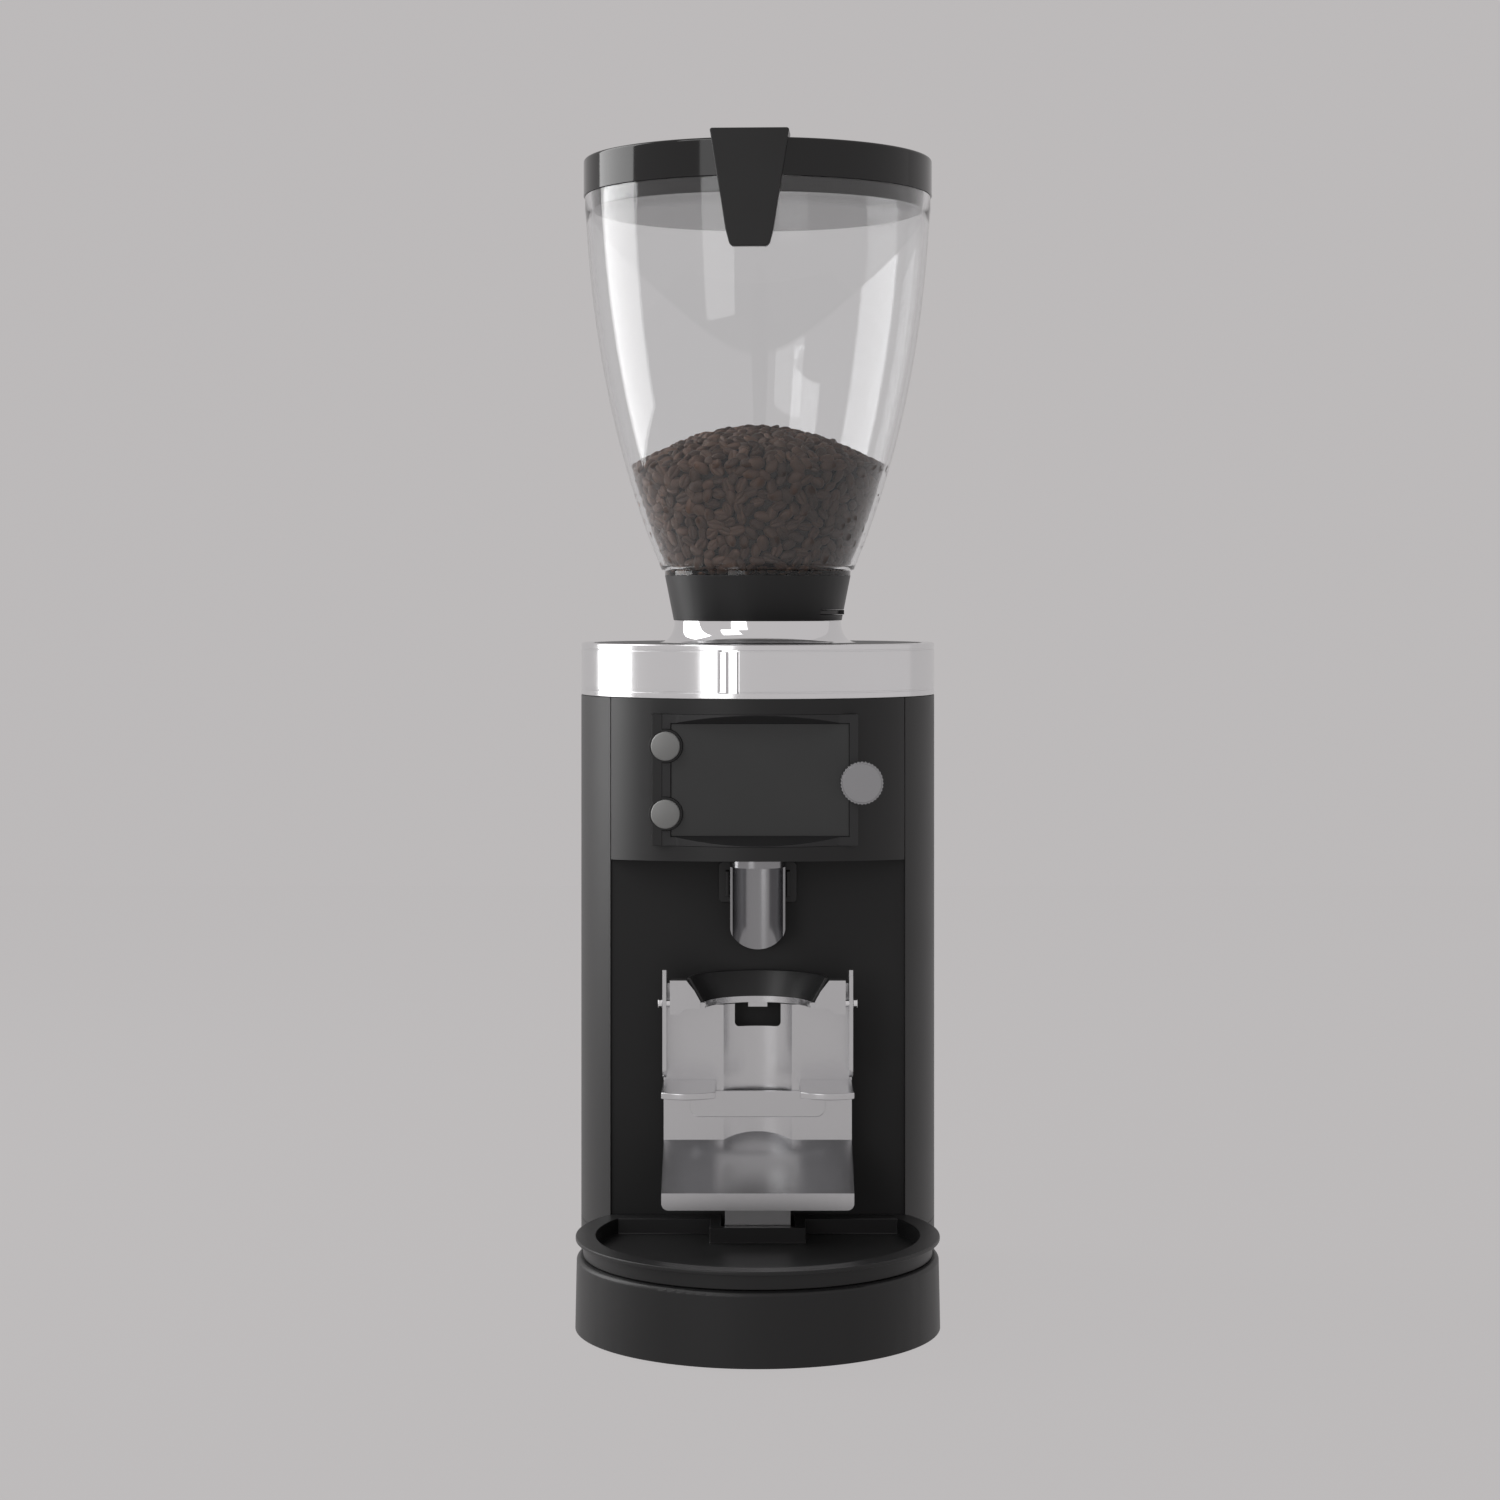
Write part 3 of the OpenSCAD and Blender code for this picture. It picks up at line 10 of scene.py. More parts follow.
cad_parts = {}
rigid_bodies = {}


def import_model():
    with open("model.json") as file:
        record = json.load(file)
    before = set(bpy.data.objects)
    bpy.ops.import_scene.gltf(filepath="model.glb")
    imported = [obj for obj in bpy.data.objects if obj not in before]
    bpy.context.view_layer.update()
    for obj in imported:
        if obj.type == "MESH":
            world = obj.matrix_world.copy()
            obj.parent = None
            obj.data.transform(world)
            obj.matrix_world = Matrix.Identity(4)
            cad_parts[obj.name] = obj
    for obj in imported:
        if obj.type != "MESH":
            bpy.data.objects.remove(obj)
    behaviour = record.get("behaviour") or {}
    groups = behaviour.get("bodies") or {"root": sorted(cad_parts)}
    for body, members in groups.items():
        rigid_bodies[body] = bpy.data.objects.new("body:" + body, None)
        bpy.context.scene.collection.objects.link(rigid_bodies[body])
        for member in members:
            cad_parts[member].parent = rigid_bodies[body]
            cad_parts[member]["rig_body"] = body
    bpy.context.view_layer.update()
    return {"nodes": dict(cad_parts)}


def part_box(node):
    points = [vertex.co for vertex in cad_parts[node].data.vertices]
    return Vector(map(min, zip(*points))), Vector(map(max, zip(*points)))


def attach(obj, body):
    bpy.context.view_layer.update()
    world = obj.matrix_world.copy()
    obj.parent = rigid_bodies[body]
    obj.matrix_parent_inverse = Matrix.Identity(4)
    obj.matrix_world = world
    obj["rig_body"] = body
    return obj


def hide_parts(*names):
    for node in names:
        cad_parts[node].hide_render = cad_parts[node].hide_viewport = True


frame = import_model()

bl_info = {
    "name": "Espresso grinder",
    "version": (1, 0, 0),
    "blender": (4, 5, 0),
    "location": "View3D > Sidebar > Grinder",
    "description": "Finishes an espresso grinder round its packed frame",
    "category": "Object",
}

MM = 0.001
RING_LOW, RING_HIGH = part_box("adjust_ring")
BURR_Y = (RING_LOW.y + RING_HIGH.y) / 2

# Points nearer than this are one, in metres: in the script's own meshes and in copies of nodes
WELD = 1e-6
COPY_WELD = 2e-6
# Radius below which a point of a turned profile is on the axis
ON_AXIS = 1e-7
# Faces of a node that turn less than this from each other are one flat face, in degrees
FLAT_ANGLE = 0.4

# How much more a large face counts than a small one where they meet
FACE_WEIGHT = 100

# Underside and top of the deck under the ring, in millimetres. The sheets round it end at its underside
DECK = (394.9, 400.9)
# Height of a sheet's rounded top edge, all of which is carried up
SHEET_EDGE = 1.5
# Radius past which the deck's rim is drawn in, and by how much
DECK_RIM = 118.0
DECK_DRAW = 3.3


# ------------------------------------------------------------------ settings


class GrinderSettings(bpy.types.PropertyGroup):
    """Sizes and colours that a user would change."""

    body_colour: bpy.props.FloatVectorProperty(
        name="Body colour", description="Powder coat of the base, head and niche", subtype="COLOR",
        default=(0.018, 0.018, 0.0185), size=3, min=0, max=1)
    side_colour: bpy.props.FloatVectorProperty(
        name="Side colour", description="Powder coat of the side panels", subtype="COLOR",
        default=(0.024, 0.024, 0.0245), size=3, min=0, max=1)
    plastic_colour: bpy.props.FloatVectorProperty(
        name="Plastic colour", description="Moulded neck, strip and half funnel", subtype="COLOR",
        default=(0.014, 0.014, 0.0145), size=3, min=0, max=1)
    button_colour: bpy.props.FloatVectorProperty(
        name="Button colour", description="Start buttons", subtype="COLOR",
        default=(0.6, 0.6, 0.59), size=3, min=0, max=1)
    bean_colour: bpy.props.FloatVectorProperty(
        name="Bean colour", description="Lighter tone of the roast", subtype="COLOR",
        default=(0.26, 0.145, 0.098), size=3, min=0, max=1)
    bean_length: bpy.props.FloatProperty(
        name="Bean length", description="Mean length of one bean", unit="LENGTH",
        default=12.0 * MM, min=6 * MM, max=14 * MM)
    bean_spacing: bpy.props.FloatProperty(
        name="Bean spacing", description="Least distance between two beans of a layer", unit="LENGTH",
        default=6.6 * MM, min=3 * MM, max=12 * MM)
    edge_round: bpy.props.FloatProperty(
        name="Edge rounding", description="Rounding of the body's pressed and cast edges", unit="LENGTH",
        default=0.6 * MM, min=0.1 * MM, max=1.5 * MM)
    backdrop_colour: bpy.props.FloatVectorProperty(
        name="Backdrop colour", description="Plain floor and backdrop", subtype="COLOR",
        default=(0.575, 0.556, 0.558), size=3, min=0, max=1)


def settings():
    """The values in the panel."""
    return bpy.context.scene.grinder_settings


# ------------------------------------------------------------------ mesh tools


def linked(name, bm):
    """A linked object from a bmesh."""
    mesh = bpy.data.meshes.new(name)
    bm.to_mesh(mesh)
    bm.free()
    obj = bpy.data.objects.new(name, mesh)
    bpy.context.scene.collection.objects.link(obj)
    return obj


def new_object(name, bm):
    """A linked object from a bmesh, its faces turned outwards."""
    bmesh.ops.remove_doubles(bm, verts=bm.verts, dist=WELD)
    bmesh.ops.recalc_face_normals(bm, faces=bm.faces)
    return linked(name, bm)


def freeze(obj):
    """Turns the evaluated object into a plain mesh without modifiers."""
    graph = bpy.context.evaluated_depsgraph_get()
    mesh = bpy.data.meshes.new_from_object(obj.evaluated_get(graph))
    obj.modifiers.clear()
    obj.data = mesh
    return obj


def smoothed(obj, sharp_angle=40):
    """Smooths the faces up to an angle, so that flat ones stay flat beside their rounded edges."""
    mesh = obj.data
    mesh.polygons.foreach_set("use_smooth", [True] * len(mesh.polygons))
    mesh.set_sharp_from_angle(angle=math.radians(sharp_angle))
    weighted = obj.modifiers.new("flat_faces", "WEIGHTED_NORMAL")
    weighted.keep_sharp = True
    weighted.weight = FACE_WEIGHT
    return freeze(obj)


def bevelled(obj, width, segments=3, angle=30):
    """Rounds the object's edges that turn more than an angle in degrees, and freezes it."""
    bevel = obj.modifiers.new("edges", "BEVEL")
    bevel.width = width
    bevel.segments = segments
    bevel.limit_method = "ANGLE"
    bevel.angle_limit = math.radians(angle)
    return smoothed(freeze(obj))


def finish_piece(obj, material, body, node=None):
    """Gives a piece its material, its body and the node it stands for."""
    obj.data.materials.clear()
    obj.data.materials.append(material)
    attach(obj, body)
    if node:
        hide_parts(node)
    return obj


def body_of_node(node):
    """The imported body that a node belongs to."""
    return frame["nodes"][node]["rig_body"]


def merged_copy(node, name):
    """A merged copy of a node's mesh, its flat faces joined."""
    bm = bmesh.new()
    bm.from_mesh(frame["nodes"][node].data)
    bmesh.ops.remove_doubles(bm, verts=bm.verts, dist=COPY_WELD)
    bmesh.ops.dissolve_limit(bm, angle_limit=math.radians(FLAT_ANGLE), verts=bm.verts, edges=bm.edges)
    return linked(name, bm)


def dress(node, material, edge, segments=2):
    """Stands a copy of a node, its edges rounded, in the node's place."""
    obj = bevelled(merged_copy(node, node + "_finish"), edge, segments)
    return finish_piece(obj, material, body_of_node(node), node)


def carry_up(obj):
    """Carries the top edge of a body sheet up to the top of the deck."""
    deck_under, deck_top = (height * MM for height in DECK)
    for v in obj.data.vertices:
        if v.co.z > deck_under - SHEET_EDGE * MM:
            v.co.z += deck_top - deck_under
    obj.data.update()


def draw_in(obj):
    """Draws the deck's rim in behind the sheets that are carried up."""
    for v in obj.data.vertices:
        place = Vector((v.co.x, v.co.y - BURR_Y))
        if place.length > DECK_RIM * MM:
            place *= 1 - DECK_DRAW * MM / place.length
            v.co.x, v.co.y = place.x, place.y + BURR_Y
    obj.data.update()


def paint(node, material):
    """Gives a node that stays in view its material."""
    mesh = frame["nodes"][node].data
    mesh.materials.clear()
    mesh.materials.append(material)


def fillet(points, radius, steps=5, straight=179, share=0.48):
    """Rounds the corners of a profile. A corner's own radius may follow its place.

    Corners past straight degrees stay, and no rounding takes more than a share of a side.
    """
    out = []
    for i, point in enumerate(points):
        p = Vector(point[:2])
        r = point[2] if len(point) > 2 else radius
        before, after = Vector(points[i - 1][:2]), Vector(points[(i + 1) % len(points)][:2])
        a, b = (before - p), (after - p)
        if r <= 0 or a.length < 1e-9 or b.length < 1e-9:
            out.append((p.x, p.y))
            continue
        angle = a.angle(b)
        if angle > math.radians(straight):
            out.append((p.x, p.y))
            continue
        cut = min(r / math.tan(angle / 2), share * a.length, share * b.length)
        start, end = p + a.normalized() * cut, p + b.normalized() * cut
        for k in range(steps + 1):
            t = k / steps
            q = start * (1 - t) ** 2 + p * 2 * t * (1 - t) + end * t ** 2
            out.append((q.x, q.y))
    return out


def lathe(name, profile, steps=192, centre=(0.0, BURR_Y), start=0.0, sweep=2 * math.pi):
    """Turns a closed profile of (radius, height) about a vertical axis."""
    bm = bmesh.new()
    whole = sweep > 2 * math.pi - 1e-6
    count = steps if whole else steps + 1
    rings = []
    for i in range(count):
        angle = start + sweep * i / steps
        c, s = math.cos(angle), math.sin(angle)
        rings.append([bm.verts.new((centre[0] + r * c, centre[1] + r * s, z)) for r, z in profile])
    for i in range(steps):
        a, b = rings[i], rings[(i + 1) % count]
        for k in range(len(profile)):
            m = (k + 1) % len(profile)
            if profile[k][0] < ON_AXIS and profile[m][0] < ON_AXIS:
                continue
            corners = [a[k], b[k], b[m], a[m]]
            if profile[k][0] < ON_AXIS:
                corners = [a[k], b[m], a[m]]
            elif profile[m][0] < ON_AXIS:
                corners = [a[k], b[k], a[m]]
            bm.faces.new(corners)
    if not whole:
        bm.faces.new(rings[0])
        bm.faces.new(rings[-1])
    loose = [v for v in bm.verts if not v.link_faces]
    bmesh.ops.delete(bm, geom=loose, context="VERTS")
    return new_object(name, bm)


def open_lathe(name, profile, steps=96):
    """A surface turned from an open profile in millimetres, facing away from the axis or up."""
    bm = bmesh.new()
    rings = []
    for i in range(steps):
        c, s = math.cos(2 * math.pi * i / steps), math.sin(2 * math.pi * i / steps)
        rings.append([bm.verts.new((r * MM * c, BURR_Y + r * MM * s, z * MM)) for r, z in profile])
    for a, b in zip(rings, rings[1:] + rings[:1]):
        for k in range(len(profile) - 1):
            bm.faces.new((a[k], b[k], b[k + 1], a[k + 1]))
    bmesh.ops.remove_doubles(bm, verts=bm.verts, dist=WELD)
    return linked(name, bm)


def turned(name, profile, steps=192, **place):
    """A lathed piece, frozen with smooth sides."""
    return smoothed(lathe(name, profile, steps, **place))


# ------------------------------------------------------------------ materials


# How far a coat's or a plastic's roughness wanders to either side
ROUGH_SPREAD = 0.03


def fresh_material(name):
    """A new material with its node tree and its shader."""
    material = bpy.data.materials.new(name)
    material.use_nodes = True
    tree = material.node_tree
    return material, tree, tree.nodes["Principled BSDF"]


def add_noise(tree, scale, detail=3.0, stretch=(1, 1, 1), roughness=0.5):
    """Noise on Object coordinates, stretched along its axes."""
    place = tree.nodes.new("ShaderNodeTexCoord")
    mapping = tree.nodes.new("ShaderNodeMapping")
    mapping.inputs["Scale"].default_value = stretch
    noise = tree.nodes.new("ShaderNodeTexNoise")
    noise.inputs["Scale"].default_value = scale
    noise.inputs["Detail"].default_value = detail
    noise.inputs["Roughness"].default_value = roughness
    tree.links.new(place.outputs["Object"], mapping.inputs["Vector"])
    tree.links.new(mapping.outputs["Vector"], noise.inputs["Vector"])
    return noise


def add_range(tree, source, low, high):
    """Maps a 0 to 1 output on to a range."""
    node = tree.nodes.new("ShaderNodeMapRange")
    node.inputs["To Min"].default_value = low
    node.inputs["To Max"].default_value = high
    tree.links.new(source, node.inputs["Value"])
    return node.outputs["Result"]


def add_bump(tree, shader, source, strength, distance):
    """Raises the surface by a 0 to 1 output, over a distance in metres."""
    bump = tree.nodes.new("ShaderNodeBump")
    bump.inputs["Strength"].default_value = strength
    bump.inputs["Distance"].default_value = distance
    tree.links.new(source, bump.inputs["Height"])
    tree.links.new(bump.outputs["Normal"], shader.inputs["Normal"])


def add_tint(tree, shader, source, dark, light):
    """Colour that wanders between two tones."""
    mix = tree.nodes.new("ShaderNodeMix")
    mix.data_type = "RGBA"
    mix.inputs["A"].default_value = (*dark, 1)
    mix.inputs["B"].default_value = (*light, 1)
    tree.links.new(source, mix.inputs["Factor"])
    tree.links.new(mix.outputs["Result"], shader.inputs["Base Color"])


def seen_clearly(tree):
    """1 for rays straight from the camera, off a shiny surface or through a clear one, 0 past a matt one."""
    rays = tree.nodes.new("ShaderNodeLightPath")
    unscattered = tree.nodes.new("ShaderNodeMath")
    unscattered.operation = "LESS_THAN"
    unscattered.inputs[1].default_value = 0.5
    tree.links.new(rays.outputs["Diffuse Depth"], unscattered.inputs[0])
    return unscattered.outputs[0]


def toned(colour, factor):
    """The colour, lighter or darker by a factor."""
    return tuple(c * factor for c in colour)


def powder_coat(name, colour, roughness):
    """Fine satin powder coat with its faint orange peel."""
    material, tree, shader = fresh_material(name)
    peel = add_noise(tree, scale=1400, detail=2)
    cloud = add_noise(tree, scale=22, detail=4)
    add_tint(tree, shader, cloud.outputs["Fac"], toned(colour, 0.92), toned(colour, 1.08))
    rough = add_range(tree, cloud.outputs["Fac"], roughness - ROUGH_SPREAD, roughness + ROUGH_SPREAD)
    tree.links.new(rough, shader.inputs["Roughness"])
    add_bump(tree, shader, peel.outputs["Fac"], strength=0.12, distance=0.00006)
    shader.inputs["Specular IOR Level"].default_value = 0.45
    return material


def moulded_plastic(name, colour, roughness, grain=0.1):
    """Moulded plastic with a spark-eroded grain."""
    material, tree, shader = fresh_material(name)
    texture = add_noise(tree, scale=2400, detail=2)
    wear = add_noise(tree, scale=35, detail=3)
    add_tint(tree, shader, wear.outputs["Fac"], toned(colour, 0.94), toned(colour, 1.06))
    rough = add_range(tree, wear.outputs["Fac"], roughness - ROUGH_SPREAD, roughness + ROUGH_SPREAD)
    tree.links.new(rough, shader.inputs["Roughness"])
    add_bump(tree, shader, texture.outputs["Fac"], strength=grain, distance=0.00005)
    return material


def metal(name, colour, roughness, brush=(1, 1, 1), scale=30, depth=0.03, spread=0.05):
    """Metal whose fine brushing runs along the axes that brush leaves long."""
    material, tree, shader = fresh_material(name)
    lines = add_noise(tree, scale, detail=4, stretch=brush, roughness=0.6)
    smudge = add_noise(tree, scale=14, detail=3)
    shader.inputs["Metallic"].default_value = 1.0
    add_tint(tree, shader, smudge.outputs["Fac"], toned(colour, 0.96), toned(colour, 1.03))
    rough = add_range(tree, lines.outputs["Fac"], roughness - spread, roughness + spread)
    tree.links.new(rough, shader.inputs["Roughness"])
    add_bump(tree, shader, lines.outputs["Fac"], strength=depth, distance=0.00004)
    return material


def clear_plastic(name):
    """Clear moulded hopper plastic: thin, slightly grey and glossy."""
    material, tree, shader = fresh_material(name)
    smear = add_noise(tree, scale=9, detail=3)
    rough = add_range(tree, smear.outputs["Fac"], 0.003, 0.012)
    tree.links.new(rough, shader.inputs["Roughness"])
    shader.inputs["Base Color"].default_value = (0.97, 0.975, 0.98, 1)
    shader.inputs["Transmission Weight"].default_value = 1.0
    shader.inputs["IOR"].default_value = 1.46
    return material


def roast(name, colour):
    """Roasted bean skin: brown that varies from bean to bean, matt with a little oil."""
    material, tree, shader = fresh_material(name)
    tone = tree.nodes.new("ShaderNodeAttribute")
    tone.attribute_name = "tone"
    grain = add_noise(tree, scale=900, detail=4)
    add_tint(tree, shader, tone.outputs["Fac"], toned(colour, 0.45), toned(colour, 1.2))
    rough = add_range(tree, grain.outputs["Fac"], 0.4, 0.62)
    tree.links.new(rough, shader.inputs["Roughness"])
    add_bump(tree, shader, grain.outputs["Fac"], strength=0.35, distance=0.0002)
    return material


MATERIALS = {}


def make_materials():
    """Every finish of the machine, by a maker's name for it."""
    s = settings()
    round_brush, sheet_brush, bar_brush = (0.02, 0.02, 1), (1, 1, 0.04), (1, 1, 0.05)
    MATERIALS.update(
        body=powder_coat("satin_black_powder_coat", tuple(s.body_colour), 0.42),
        side=powder_coat("anthracite_powder_coat", tuple(s.side_colour), 0.42),
        niche=powder_coat("niche_black", toned(s.body_colour, 0.7), 0.6),
        tray=powder_coat("tray_powder_coat", toned(s.body_colour, 1.1), 0.38),
        plastic=moulded_plastic("matte_black_plastic", tuple(s.plastic_colour), 0.4),
        bezel=moulded_plastic("bezel_plastic", toned(s.plastic_colour, 2.2), 0.45),
        screen=moulded_plastic("dark_screen", (0.075, 0.077, 0.077), 0.3, grain=0.0),
        clip=moulded_plastic("clip_plastic", (0.006, 0.006, 0.0062), 0.3, grain=0.04),
        gloss=moulded_plastic("gloss_black_plastic", (0.004, 0.004, 0.0042), 0.07, grain=0.01),
        button=moulded_plastic("light_grey_button", tuple(s.button_colour), 0.42, grain=0.05),
        rubber=moulded_plastic("foot_rubber", (0.012, 0.012, 0.012), 0.75, grain=0.3),
        board=moulded_plastic("green_board", (0.012, 0.075, 0.03), 0.4),
        knob=metal("dark_anodised_knob", (0.34, 0.34, 0.35), 0.5, brush=(1, 0.05, 1), scale=400),
        polished=metal("polished_ring", (0.83, 0.83, 0.84), 0.15,
                       brush=round_brush, scale=500, depth=0.004, spread=0.03),
        collar=metal("polished_collar", (0.86, 0.86, 0.87), 0.06,
                     brush=(0.05, 0.05, 1), scale=600, depth=0.01, spread=0.01),
        steel=metal("satin_steel_sheet", (0.66, 0.66, 0.67), 0.24, brush=sheet_brush, scale=700, depth=0.02),
        spout=metal("steel_spout", (0.34, 0.34, 0.35), 0.2,
                    brush=bar_brush, scale=500, depth=0.015, spread=0.03),
        cast=metal("machined_casting", (0.5, 0.5, 0.51), 0.45, scale=180, depth=0.1, spread=0.08),
        ground=metal("ground_steel", (0.52, 0.52, 0.54), 0.25, brush=bar_brush, scale=500),
        copper=metal("lacquered_copper", (0.55, 0.25, 0.1), 0.35, brush=(1, 1, 0.2), scale=800, depth=0.3),
        dark_steel=metal("blackened_steel", (0.06, 0.06, 0.065), 0.4),
        clear=clear_plastic("clear_hopper_plastic"),
        beans=roast("roasted_beans", tuple(s.bean_colour)),
        # Painted shade: the core under the beans takes the bean colour darkened, for the shadow in the gaps
        # between the beans
        dark_beans=roast("beans_in_shade", toned(s.bean_colour, 0.3)),
    )


# ------------------------------------------------------------------ shared shapes


def cad(node):
    """The lowest and highest corner of a node in millimetres about the burr axis."""
    low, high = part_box(node)
    shift = Vector((0, BURR_Y, 0))
    return (low - shift) / MM, (high - shift) / MM


def metres(profile):
    """A profile in millimetres, in metres."""
    return [(r * MM, z * MM) for r, z in profile]


def cut_away(obj, cutter):
    """Takes the cutter out of the object and deletes it."""
    boolean = obj.modifiers.new("cut", "BOOLEAN")
    boolean.operation = "DIFFERENCE"
    boolean.solver = "EXACT"
    boolean.object = cutter
    smoothed(freeze(obj))
    bpy.data.objects.remove(cutter)
    return obj


def block(name, low, high, turn=0.0):
    """A plain box in millimetres about the burr axis, turned about it."""
    bm = bmesh.new()
    bmesh.ops.create_cube(bm, size=1.0)
    for v in bm.verts:
        p = Vector([(low[i] if v.co[i] < 0 else high[i]) * MM for i in range(3)])
        p.rotate(Matrix.Rotation(turn, 3, "Z"))
        v.co = p + Vector((0, BURR_Y, 0))
    return new_object(name, bm)


# ------------------------------------------------------------------ operators


class GRINDER_OT_body(bpy.types.Operator):
    """Finishes the base, the side panels, the niche and the display head."""
    bl_idname = "grinder.body"
    bl_label = "Body"

    carried_up = ("head_panel", "left_side_panel", "right_side_panel")

    def execute(self, context):
        edge = settings().edge_round
        for node, key, slot, width in [
                ("base_casting", "body", "satin_black_metal", edge),
                ("catch_tray", "tray", "satin_black_metal", edge),
                ("head_panel", "body", "satin_black_metal", edge * 0.6),
                ("niche_panel", "niche", "satin_black_metal", edge * 0.4),
                ("top_deck", "body", "satin_black_metal", edge * 0.4),
                ("left_side_panel", "side", "satin_side_panel", edge * 0.8),
                ("right_side_panel", "side", "satin_side_panel", edge * 0.8),
                ("rubber_feet", "rubber", "rubber", edge * 0.5)]:
            obj = dress(node, MATERIALS[key], width, 3)
            if node in self.carried_up:
                carry_up(obj)
            if node == "top_deck":
                draw_in(obj)
        return {"FINISHED"}


class GRINDER_OT_rear(bpy.types.Operator):
    """Finishes the rear cover, its screws, the mains inlet and the power switch."""
    bl_idname = "grinder.rear"
    bl_label = "Rear"

    def execute(self, context):
        edge = settings().edge_round
        carry_up(dress("rear_cover", MATERIALS["side"], edge * 0.5))
        dress("cover_screws", MATERIALS["dark_steel"], edge * 0.7)
        dress("power_inlet", MATERIALS["plastic"], edge * 0.5)
        dress("power_rocker", MATERIALS["gloss"], edge * 0.6)
        return {"FINISHED"}


class GRINDER_OT_display(bpy.types.Operator):
    """Finishes the screen, its mitred frame, the two start buttons and the menu knob."""
    bl_idname = "grinder.display"
    bl_label = "Display"

    def execute(self, context):
        edge = settings().edge_round
        dress("display_bezel", MATERIALS["bezel"], edge * 0.4)
        dress("display_screen", MATERIALS["screen"], edge * 0.2)
        dress("button_strip", MATERIALS["plastic"], edge * 0.6)
        for button in ("upper_button", "lower_button"):
            dress(button, MATERIALS["button"], edge, 4)
        dress("menu_knob", MATERIALS["knob"], edge * 0.35)
        return {"FINISHED"}


class GRINDER_OT_ring(bpy.types.Operator):
    """Turns the adjusting ring with its grooves, its rib, the top plate and the collar."""
    bl_idname = "grinder.ring"
    bl_label = "Adjusting ring"

    # The ring in millimetres: its wall, the bands above and below its grooves, and the grooves
    wall = 8.0
    lip = 3.6
    groove = 0.9
    depth = 0.8
    # Notch for the rib: its left and right edge, its reach into the ring, the cutter's overhang and its turn
    notch = (-4.0, 6.5)
    notch_in = 3.0
    overhang = 2.0
    rib_angle = 9.6
    # The collar's bore, the radius on which it seats in the top plate, the height of that seat and its rim
    collar_bore = 45.0
    seat_r = 50.0
    seat_h = 12.0
    collar_rim = 56.7
    flare_steps = 20
    # The plate's face stands this much under its node's, which is level with the ring's top
    plate_sink = 0.05

    def execute(self, context):
        low, high = cad("adjust_ring")
        r, z0, z1 = high.x, low.z, high.z
        inner = r - self.wall
        a, b = z0 + self.lip, z1 - self.lip - self.groove
        d, g = self.depth, self.groove
        profile = [(inner, z0, 0.3), (r, z0, 0.5),
                   (r, a, 0.2), (r - d, a, 0.1), (r - d, a + g, 0.1), (r, a + g, 0.2),
                   (r, b, 0.2), (r - d, b, 0.1), (r - d, b + g, 0.1), (r, b + g, 0.2),
                   (r, z1, 1.2), (inner, z1, 0.4)]
        ring = turned("adjust_ring_finish", metres(fillet(profile, 0.3)), 256)
        left, right = self.notch
        cutter = block("ring_cutter", (left, -r - self.overhang, a), (right, -r + self.notch_in, b + g),
                       -math.radians(self.rib_angle))
        cut_away(ring, cutter)
        finish_piece(ring, MATERIALS["polished"], "ring", "adjust_ring")
        dress("ring_rib", MATERIALS["collar"], 0.5 * MM, 3)

        low, high = cad("top_plate")
        face = high.z - self.plate_sink
        profile = [(self.seat_r, low.z, 0.2), (high.x, low.z, 0.2),
                   (high.x, face, 0.3), (self.seat_r, face, 0.2)]
        plate = turned("top_plate_finish", metres(fillet(profile, 0.3)), 192)
        finish_piece(plate, MATERIALS["body"], "housing", "top_plate")

        low, high = cad("hopper_collar")
        foot = low.z + self.seat_h
        rise = high.z - foot
        flare = []
        for i in range(self.flare_steps + 1):
            t = math.pi / 2 * i / self.flare_steps
            flare.append((high.x - (high.x - self.collar_rim) * math.sin(t), foot + rise * (1 - math.cos(t))))
        profile = [(self.collar_bore, low.z), (self.seat_r, low.z), (self.seat_r, foot)]
        profile += flare + [(self.collar_bore, high.z)]
        collar = turned("hopper_collar_finish", metres(profile), 192)
        finish_piece(collar, MATERIALS["collar"], "housing", "hopper_collar")
        return {"FINISHED"}


